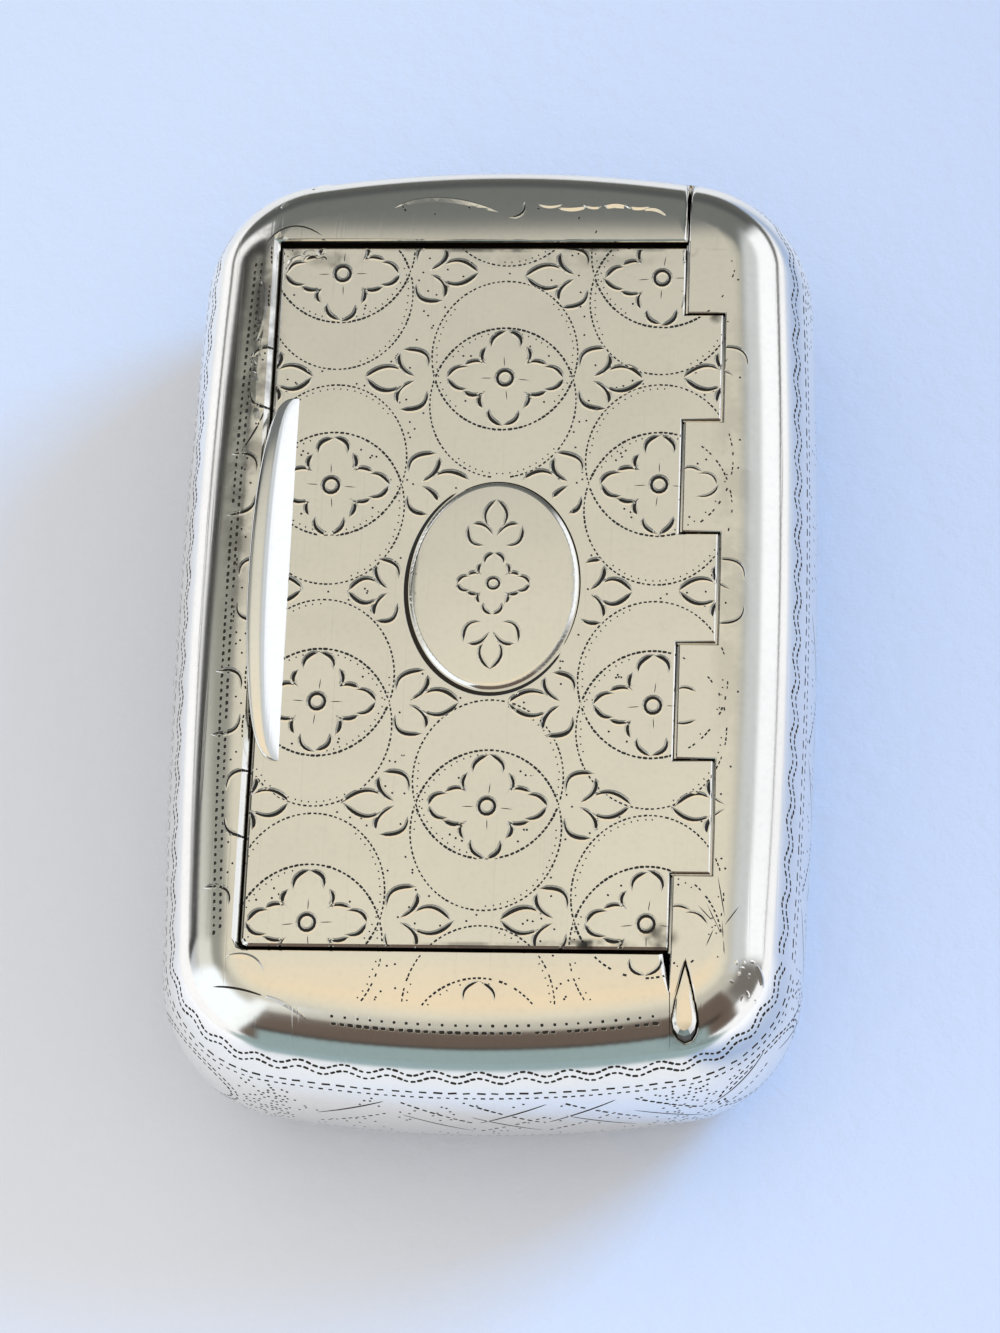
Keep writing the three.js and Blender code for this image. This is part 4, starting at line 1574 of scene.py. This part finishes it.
class SNUFFBOX_OT_hinge(bpy.types.Operator):
    """Make the hinge tubes, their pin and the plug that hides its end"""

    bl_idname = "snuffbox.hinge"
    bl_label = "Hinge"

    def execute(self, context):
        for node in sorted(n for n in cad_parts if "knuckle" in n):
            near, far = edge(node, 0, 1), edge(node, 1, 1)
            tube = rod(node.replace("knuckle", "hinge_tube"), near, far, TUBE)
            flatten_top(tube, TUBE_TOP)
            subtract(tube, rod("bore", near - 1, far + 1, BORE))
            soften(tube, 0.05)
            finish(tube, "tube_silver", "lid" if node.startswith("lid") else "case", "hinge_silver", node)
        low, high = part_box("hinge_pin")
        pin = rod("hinge_pin_rod", low.y / MM, high.y / MM, (high.x - low.x) / 2 / MM)
        soften(pin, 0.15, 3)
        finish(pin, "tube_silver", "case", "hinge_silver", "hinge_pin")
        shape = plug_outline(0.0)
        rounded = [0.1 if y > -29.5 else 0.24 for _, y in shape]
        sheet = Sheet([shape], [], roll_grid(0.5), [rounded], 0.3)

        def face(x, y):
            return TOP - 0.04 - 0.032 * np.maximum(-27.4 - y, 0) ** 2 - 0.12 * (x - PLUG_X) ** 2

        def foot(x, y):
            return np.minimum(face(x, y), top_surface(x, y)[0][:, 2]) - 0.9

        # The plug's walls and foot take the dark joint finish: dirt and painted shade round its proud end
        materials = finishes("worn_silver", "joint_dirt_and_shade", "joint_dirt_and_shade")
        plug = plate("pin_plug", sheet, over_height(face), foot, materials)
        ride(plug, "case", "polished_silver", "hinge_plug")
        return {"FINISHED"}


class SNUFFBOX_OT_seats(bpy.types.Operator):
    """Make the ledges the lid rests on and the flanges under it"""

    bl_idname = "snuffbox.seats"
    bl_label = "Lid seats"

    def execute(self, context):
        for node in sorted(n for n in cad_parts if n.startswith(("ledge", "lid_flange"))):
            low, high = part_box(node)
            bpy.ops.object.select_all(action="DESELECT")
            bpy.ops.mesh.primitive_cube_add(size=1.0, location=(low + high) / 2)
            bar = bpy.context.object
            bar.name = node + "_bar"
            bar.scale = high - low
            bpy.ops.object.transform_apply(location=True, rotation=True, scale=True)
            soften(bar, 0.22, 3)
            finish(bar, "seat_gilding", "lid" if "flange" in node else "case", "gilt", node)
        return {"FINISHED"}


class SNUFFBOX_OT_base(bpy.types.Operator):
    """Make the base plate with its rolled edge"""

    bl_idname = "snuffbox.base"
    bl_label = "Base plate"

    def execute(self, context):
        outer = frame_edge(np.linspace(0, GIRTH, 220, endpoint=False), roll_inset(TOP - FOOT))

        def face(x, y):
            lean = np.clip(FLAT_INSET - plan(x, y)[0], 0, ROLL * ROLL_SHARE)
            return MIDDLE + ROLL_RISE + np.sqrt(ROLL**2 - lean**2)

        def inner(x, y):
            return np.full_like(x, TOP - FOOT)

        sheet = Sheet([outer], [], roll_grid(0.8))
        materials = finishes("bright_silver", "gilding")
        obj = plate("base_sheet", sheet, over_height(face), inner, materials, turned=True)
        ride(obj, "case", "polished_silver", "base_plate")
        return {"FINISHED"}


class SNUFFBOX_OT_plaque(bpy.types.Operator):
    """Make the domed oval plaque with its flower"""

    bl_idname = "snuffbox.plaque"
    bl_label = "Plaque"

    def execute(self, context):
        sizes = context.scene.snuff_box_sizes
        cx, cy, rx, ry = plaque_shape(0.0)
        top, bottom = edge("cartouche_plaque", 1, 2), edge("cartouche_plaque", 0, 2)
        radius = 0.32

        def face(x, y):
            share = np.hypot((x - cx) / rx, (y - cy) / ry)
            spread = np.hypot(ry * (x - cx) / rx, rx * (y - cy) / ry) / np.maximum(share, 1e-6)
            width = rx * ry / np.maximum(spread, 1e-6)
            rim = np.clip(1 - (1 - share) * width / radius, 0, 1)
            return top - 0.08 * share**2 - 0.22 * rim**1.5

        def foot(x, y):
            return np.full_like(x, bottom)

        outer = [(cx + rx * math.cos(a), cy + ry * math.sin(a)) for a in turns(120)]
        grid = []
        for share, count in ((0.99, 120), (0.975, 120), (0.96, 100), (0.945, 100), (0.9, 60), (0.8, 44),
                             (0.65, 36), (0.5, 28), (0.35, 20), (0.2, 12), (0.05, 4)):
            grid += [(cx + rx * share * math.cos(a), cy + ry * share * math.sin(a)) for a in turns(count)]
        sheet = Sheet([outer], plaque_flower(cx, cy, sizes), grid)
        materials = finishes("worn_silver", "bright_silver", "bright_silver")
        obj = plate("oval_plaque", sheet, over_height(face), foot, materials)
        ride(obj, "lid", "engraved_silver", "cartouche_plaque")
        return {"FINISHED"}


def plaque_flower(cx, cy, sizes):
    """One upright flower with a pair of leaf sprigs, the same on both sides."""
    cuts = Engraving()
    width, depth, burr = sizes.line_width / MM * 0.8, sizes.line_depth / MM * 0.7, sizes.burr / MM * 0.8
    for sx, sy in QUARTERS:
        for points, heavy in PETAL_STROKES:
            path = [(cx + sx * px * 0.62, cy + sy * py * 0.62) for px, py in points]
            cuts.stroke(curve(path, 6), width, depth, heavy, -PETAL_LEAN * sx * sy, burr)
    cuts.ring(cx, cy, 0.4, width * 0.8, depth, 1.0, burr)
    for sy, sx in QUARTERS:
        for points, heavy, lean in LEAF_STROKES:
            path = [(cx + sx * py * 0.8, cy + sy * (2.5 + px * 0.8)) for px, py in points]
            cuts.stroke(curve(path, 7), width, depth, heavy, -lean * sx * sy, burr)
    return cuts.cuts


# Section of the bow from its foot on the lid, over the top and back under: shares of width and height
BOW_SECTION = [
    (0.0, -0.02), (0.0, 0.04), (0.02, 0.08), (0.1, 0.22), (0.3, 0.54), (0.5, 0.85), (0.58, 0.94),
    (0.65, 0.98), (0.74, 0.995), (0.85, 1.0), (0.93, 0.995), (0.97, 0.965), (0.99, 0.9), (1.0, 0.82),
    (1.0, 0.55), (0.985, 0.36), (0.94, 0.28), (0.7, 0.22), (0.56, 0.2), (0.5, -0.02),
]
# Points of the section that are undercut in the middle of the bow and closed down at its ends
BOW_UNDERCUT = (15, 16, 17, 18)
BOW_ROWS = 72


class SNUFFBOX_OT_thumbpiece(bpy.types.Operator):
    """Make the half-round thumbpiece that feathers out on the lid"""

    bl_idname = "snuffbox.thumbpiece"
    bl_label = "Thumbpiece"

    def execute(self, context):
        low, high = (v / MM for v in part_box("thumbpiece"))
        middle, half = (low.y + high.y) / 2, (high.y - low.y) / 2
        rows, around = BOW_ROWS, len(BOW_SECTION)
        points, faces = [], []
        for i in range(rows + 1):
            t = math.cos(math.pi * i / rows)
            share = max(1 - abs(t) ** 2.3, 0.0)
            width = 0.3 + 1.1 * max(1 - abs(t) ** 14, 0.0) ** 0.5 + (high.x - low.x - 1.5) * share
            height = (high.z - TOP) * (0.06 + 0.94 * share**0.5)
            overhang = min(max((share - 0.25) / 0.3, 0), 1)
            for k, (s, h) in enumerate(BOW_SECTION):
                lifted = h * overhang - 0.02 * (1 - overhang) if k in BOW_UNDERCUT else h
                points.append((high.x - 0.02 - width * s, middle + half * t, TOP + height * lifted))
        for i in range(rows):
            for k in range(around):
                a, b = i * around + k, i * around + (k + 1) % around
                faces.append((a, b, b + around, a + around))
        faces.append(tuple(range(around))[::-1])
        faces.append(tuple(range(rows * around, (rows + 1) * around)))
        mesh = bpy.data.meshes.new("thumb_bar")
        mesh.from_pydata([tuple(c * MM for c in p) for p in points], [], faces)
        obj = placed("thumb_bar", mesh)
        only(obj)
        bpy.ops.object.mode_set(mode="EDIT")
        bpy.ops.mesh.select_all(action="SELECT")
        bpy.ops.mesh.remove_doubles(threshold=1e-7)
        bpy.ops.mesh.normals_make_consistent(inside=False)
        bpy.ops.object.mode_set(mode="OBJECT")
        bpy.ops.object.shade_smooth_by_angle(angle=math.radians(50))
        finish(obj, "bright_silver", "lid", "polished_silver", "thumbpiece")
        return {"FINISHED"}


class SNUFFBOX_OT_stage(bpy.types.Operator):
    """Set the floor, the soft light and the camera"""

    bl_idname = "snuffbox.stage"
    bl_label = "Stage"

    def execute(self, context):
        make_floor()
        make_world()
        make_window_light()
        make_camera()
        context.scene.view_settings.view_transform = "Standard"
        return {"FINISHED"}


def painted_floor_reflection(nodes, x, y):
    """Painted reflection: the tones in which the metal mirrors the floor further off, glowing for reflected
    rays only, each laid over the last.
    """
    near_dark = nodes.between(y, -0.08, -0.092) * nodes.between(abs(x) + y * 0.6, 0.035, 0.015)
    layers = [
        (nodes.between(x, 0.02, 0.036), (0.4, 0.52, 0.76)),
        (nodes.between(x, 0.034, 0.066), (1.05, 1.08, 1.15)),
        (nodes.between(x, -0.035, -0.06), (1.1, 1.12, 1.18)),
        (near_dark, (0.31, 0.42, 0.44)),
        (nodes.between(y, 0.09, 0.105), (0.11, 0.115, 0.11)),
    ]
    tone = (0.88, 0.92, 0.98, 1)
    for share, colour in layers:
        tone = nodes.blend(share, tone, rgba(colour))
    return tone


def make_floor():
    """Pale paper with painted shade: darker to the right and the back, lighter in front. Further off, it
    glows in painted reflection tones that only the metal sees.
    """
    colours = bpy.context.scene.snuff_box_colours
    bpy.ops.object.select_all(action="DESELECT")
    bpy.ops.mesh.primitive_plane_add(size=3.0, location=(0, 0, 0))
    floor = bpy.context.object
    floor.name = "paper_floor"
    material = bpy.data.materials.new("paper")
    material.use_nodes = True
    nodes = Nodes(material.node_tree)
    where = nodes.place()
    x, y, _ = nodes.axes(where)
    # Painted shade: the paper's colour falls off to the right and the back and rises in front, standing in
    # for uneven light
    tone = nodes.blend(nodes.between(x, -0.02, 0.06), rgba(colours.floor), rgba(colours.floor_shade))
    painted_falloff = nodes.blend(nodes.between(y, -0.09, 0.1), (1.06, 1.07, 1.1, 1), (0.88, 0.89, 0.91, 1))
    settings = {"data_type": "RGBA", "blend_type": "MULTIPLY"}
    tone = nodes.add("ShaderNodeMix", settings, {0: 1.0, 6: tone, 7: painted_falloff}, 2)
    grain = nodes.noise(where, *PAPER_GRAIN)
    bump = nodes.add("ShaderNodeBump", {}, {"Strength": 0.6, "Distance": 0.0002, "Height": grain})
    paper = nodes.add("ShaderNodeBsdfPrincipled", {}, {"Base Color": tone, "Roughness": 0.9, "Normal": bump})
    # Painted reflection: away from the box, rays that the metal mirrors see the floor glow in set tones
    # instead of the lit paper
    away = nodes.between((x * x * 1.6 + y * y) ** 0.5, 0.036, 0.066)
    mirrored = nodes.add("ShaderNodeEmission", {}, [painted_floor_reflection(nodes, x, y), 1.0])
    glossy = nodes.add("ShaderNodeLightPath", output="Is Glossy Ray")
    shader = nodes.add("ShaderNodeMixShader", {}, [glossy * away, paper, mirrored])
    nodes.add("ShaderNodeOutputMaterial", {}, {"Surface": shader})
    floor.data.materials.append(material)


# Soft patches of the room that the metal mirrors: azimuth from the far side towards the hinge side,
# half width, lowest and highest elevation, softness, all in degrees, then slant and colour
ROOM = [
    (-5, 48, -10, 56, 4, 0, (0.165, 0.177, 0.174)),
    (-5, 40, -10, 13, 6, 0, (0.093, 0.1, 0.1)),
    (-66, 30, 20, 60, 6, 0, (0.32, 0.325, 0.29)),
    (-84, 18, 18, 44, 5, 0, (0.80, 0.81, 0.77)),
    (-66, 32, 5, 20, 2, 1.0, (0.02, 0.02, 0.02)),
    (-66, 38, -14, 5, 3, 1.0, (1.04, 1.06, 1.1)),
    (-118, 24, -14, 48, 6, 0, (1.1, 1.19, 1.3)),
    (62, 34, 30, 57, 8, 0, (0.64, 0.68, 0.71)),
    (70, 38, -14, 34, 5, 0, (1.08, 1.12, 1.2)),
    (103, 19, -14, 42, 8, 0, (0.18, 0.17, 0.16)),
    (121, 6, -14, 14, 3, 0, (1.1, 1.14, 1.2)),
    (171, 47, -8, 49, 2, 0, (0.14, 0.105, 0.085)),
    (175, 40, 17, 23, 3, 0, (0.05, 0.04, 0.035)),
    (176, 29, -14, 18, 3, 0, (0.31, 0.42, 0.44)),
    (215, 14, 14.5, 89, 3, -3.1, (1.1, 1.17, 1.22)),
]


def make_world():
    """Plain light all round for the surfaces, and the soft room for what the metal mirrors."""
    world = bpy.data.worlds.new("soft_room")
    world.use_nodes = True
    bpy.context.scene.world = world
    nodes = Nodes(world.node_tree)
    direction = nodes.add("ShaderNodeTexCoord", output=0)
    x, y, z = nodes.axes(direction)
    level = (x * x + y * y + 1e-5) ** 0.5
    stops = [
        (0.0, (0.66, 0.72, 0.82, 1)), (0.3, (0.56, 0.57, 0.58, 1)), (0.62, (0.52, 0.51, 0.47, 1)),
        (0.86, (0.58, 0.565, 0.495, 1)), (0.93, (0.81, 0.775, 0.65, 1)), (1.0, (0.95, 0.80, 0.58, 1)),
    ]
    sky = nodes.add("ShaderNodeValToRGB", {"stops": stops}, [z])
    for azimuth, half, low, high, soft, slant, colour in ROOM:
        a = math.radians(azimuth)
        ahead = (x * math.sin(a) + y * math.cos(a)) / level
        rise = z - (x * math.cos(a) - y * math.sin(a)) / level * slant
        wide = nodes.between(ahead, math.cos(math.radians(half + soft)), math.cos(math.radians(half - soft)))
        above = nodes.between(rise, math.sin(math.radians(low - soft)), math.sin(math.radians(low + soft)))
        below = nodes.between(rise, math.sin(math.radians(high + soft)), math.sin(math.radians(high - soft)))
        share = wide * above * below
        if slant:
            share = share * nodes.between(z, 0.9, 0.84)
        sky = nodes.blend(share, sky, rgba(colour))
    mirrored = nodes.add("ShaderNodeBackground", {}, [sky, 1.0])
    ambient = nodes.add("ShaderNodeBackground", {}, [(0.82, 0.81, 0.81, 1), 1.0])
    glossy = nodes.add("ShaderNodeLightPath", output="Is Glossy Ray")
    mix = nodes.add("ShaderNodeMixShader", {}, [glossy, ambient, mirrored])
    nodes.add("ShaderNodeOutputWorld", {}, {"Surface": mix})


def make_window_light():
    """Soft cool light from the far right. The metal mirrors the room instead of the lamp."""
    data = bpy.data.lights.new("window_light", "AREA")
    data.size = 0.5
    data.energy = 16.0
    data.color = (0.056, 0.39, 1.0)
    lamp = placed("window_light", data)
    azimuth, elevation, reach = math.radians(55), math.radians(30), 1.4
    towards = Vector((math.sin(azimuth) * math.cos(elevation), math.cos(azimuth) * math.cos(elevation),
                      math.sin(elevation)))
    turn = towards.to_track_quat("Z", "Y").to_matrix().to_4x4()
    lamp.matrix_world = Matrix.Translation(towards * reach) @ turn
    lamp.visible_glossy = False


# The camera that fits the photograph: place in millimetres, three turns in degrees, focal length in pixels
CAMERA_PLACE = (29.52, -157.06, 351.2)
CAMERA_TURN = 10.651
CAMERA_TIP = 24.778
CAMERA_ROLL = -9.347
FOCAL_PIXELS = 5500
FRAME_PIXELS = 1333


def make_camera():
    """The camera, as it stood for the photograph."""
    data = bpy.data.cameras.new("photo_camera")
    camera = placed("photo_camera", data)
    turn, tip, roll = (math.radians(a) for a in (CAMERA_TURN, CAMERA_TIP, CAMERA_ROLL))
    look = Vector((-math.sin(turn) * math.sin(tip), math.cos(turn) * math.sin(tip), -math.cos(tip)))
    right = Vector((math.cos(turn), math.sin(turn), 0))
    up = right.cross(look)
    across = right * math.cos(roll) + up * math.sin(roll)
    upward = up * math.cos(roll) - right * math.sin(roll)
    rotation = Matrix((across, upward, -look)).transposed().to_4x4()
    camera.matrix_world = Matrix.Translation(Vector(CAMERA_PLACE) * MM) @ rotation
    data.sensor_width = 36.0
    data.lens = FOCAL_PIXELS * data.sensor_width / FRAME_PIXELS
    data.clip_start = 0.01
    bpy.context.scene.camera = camera


class SNUFFBOX_PT_panel(bpy.types.Panel):
    """Lists the steps that build the snuff box"""

    bl_idname = "SNUFFBOX_PT_panel"
    bl_label = "Snuff box"
    bl_space_type = "VIEW_3D"
    bl_region_type = "UI"
    bl_category = "Snuff box"

    def draw(self, context):
        for step in STEPS:
            self.layout.operator(step.bl_idname)


STEPS = [
    SNUFFBOX_OT_lid, SNUFFBOX_OT_frame, SNUFFBOX_OT_band, SNUFFBOX_OT_base, SNUFFBOX_OT_hinge,
    SNUFFBOX_OT_seats, SNUFFBOX_OT_plaque, SNUFFBOX_OT_thumbpiece, SNUFFBOX_OT_stage,
]
CLASSES = [SnuffBoxSizes, SnuffBoxColours, *STEPS, SNUFFBOX_PT_panel]


def register():
    for cls in CLASSES:
        bpy.utils.register_class(cls)
    bpy.types.Scene.snuff_box_sizes = bpy.props.PointerProperty(type=SnuffBoxSizes)
    bpy.types.Scene.snuff_box_colours = bpy.props.PointerProperty(type=SnuffBoxColours)


def unregister():
    del bpy.types.Scene.snuff_box_colours
    del bpy.types.Scene.snuff_box_sizes
    for cls in reversed(CLASSES):
        bpy.utils.unregister_class(cls)


def main():
    """Builds the whole box by its operators."""
    register()
    for step in STEPS:
        group, name = step.bl_idname.split(".")
        getattr(getattr(bpy.ops, group), name)()
    # The solids that are still seen are the bearers inside
    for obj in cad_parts.values():
        if not obj.hide_render:
            obj.data.materials.clear()
            obj.data.materials.append(*finishes("gilding"))


if __name__ == "__main__":
    main()
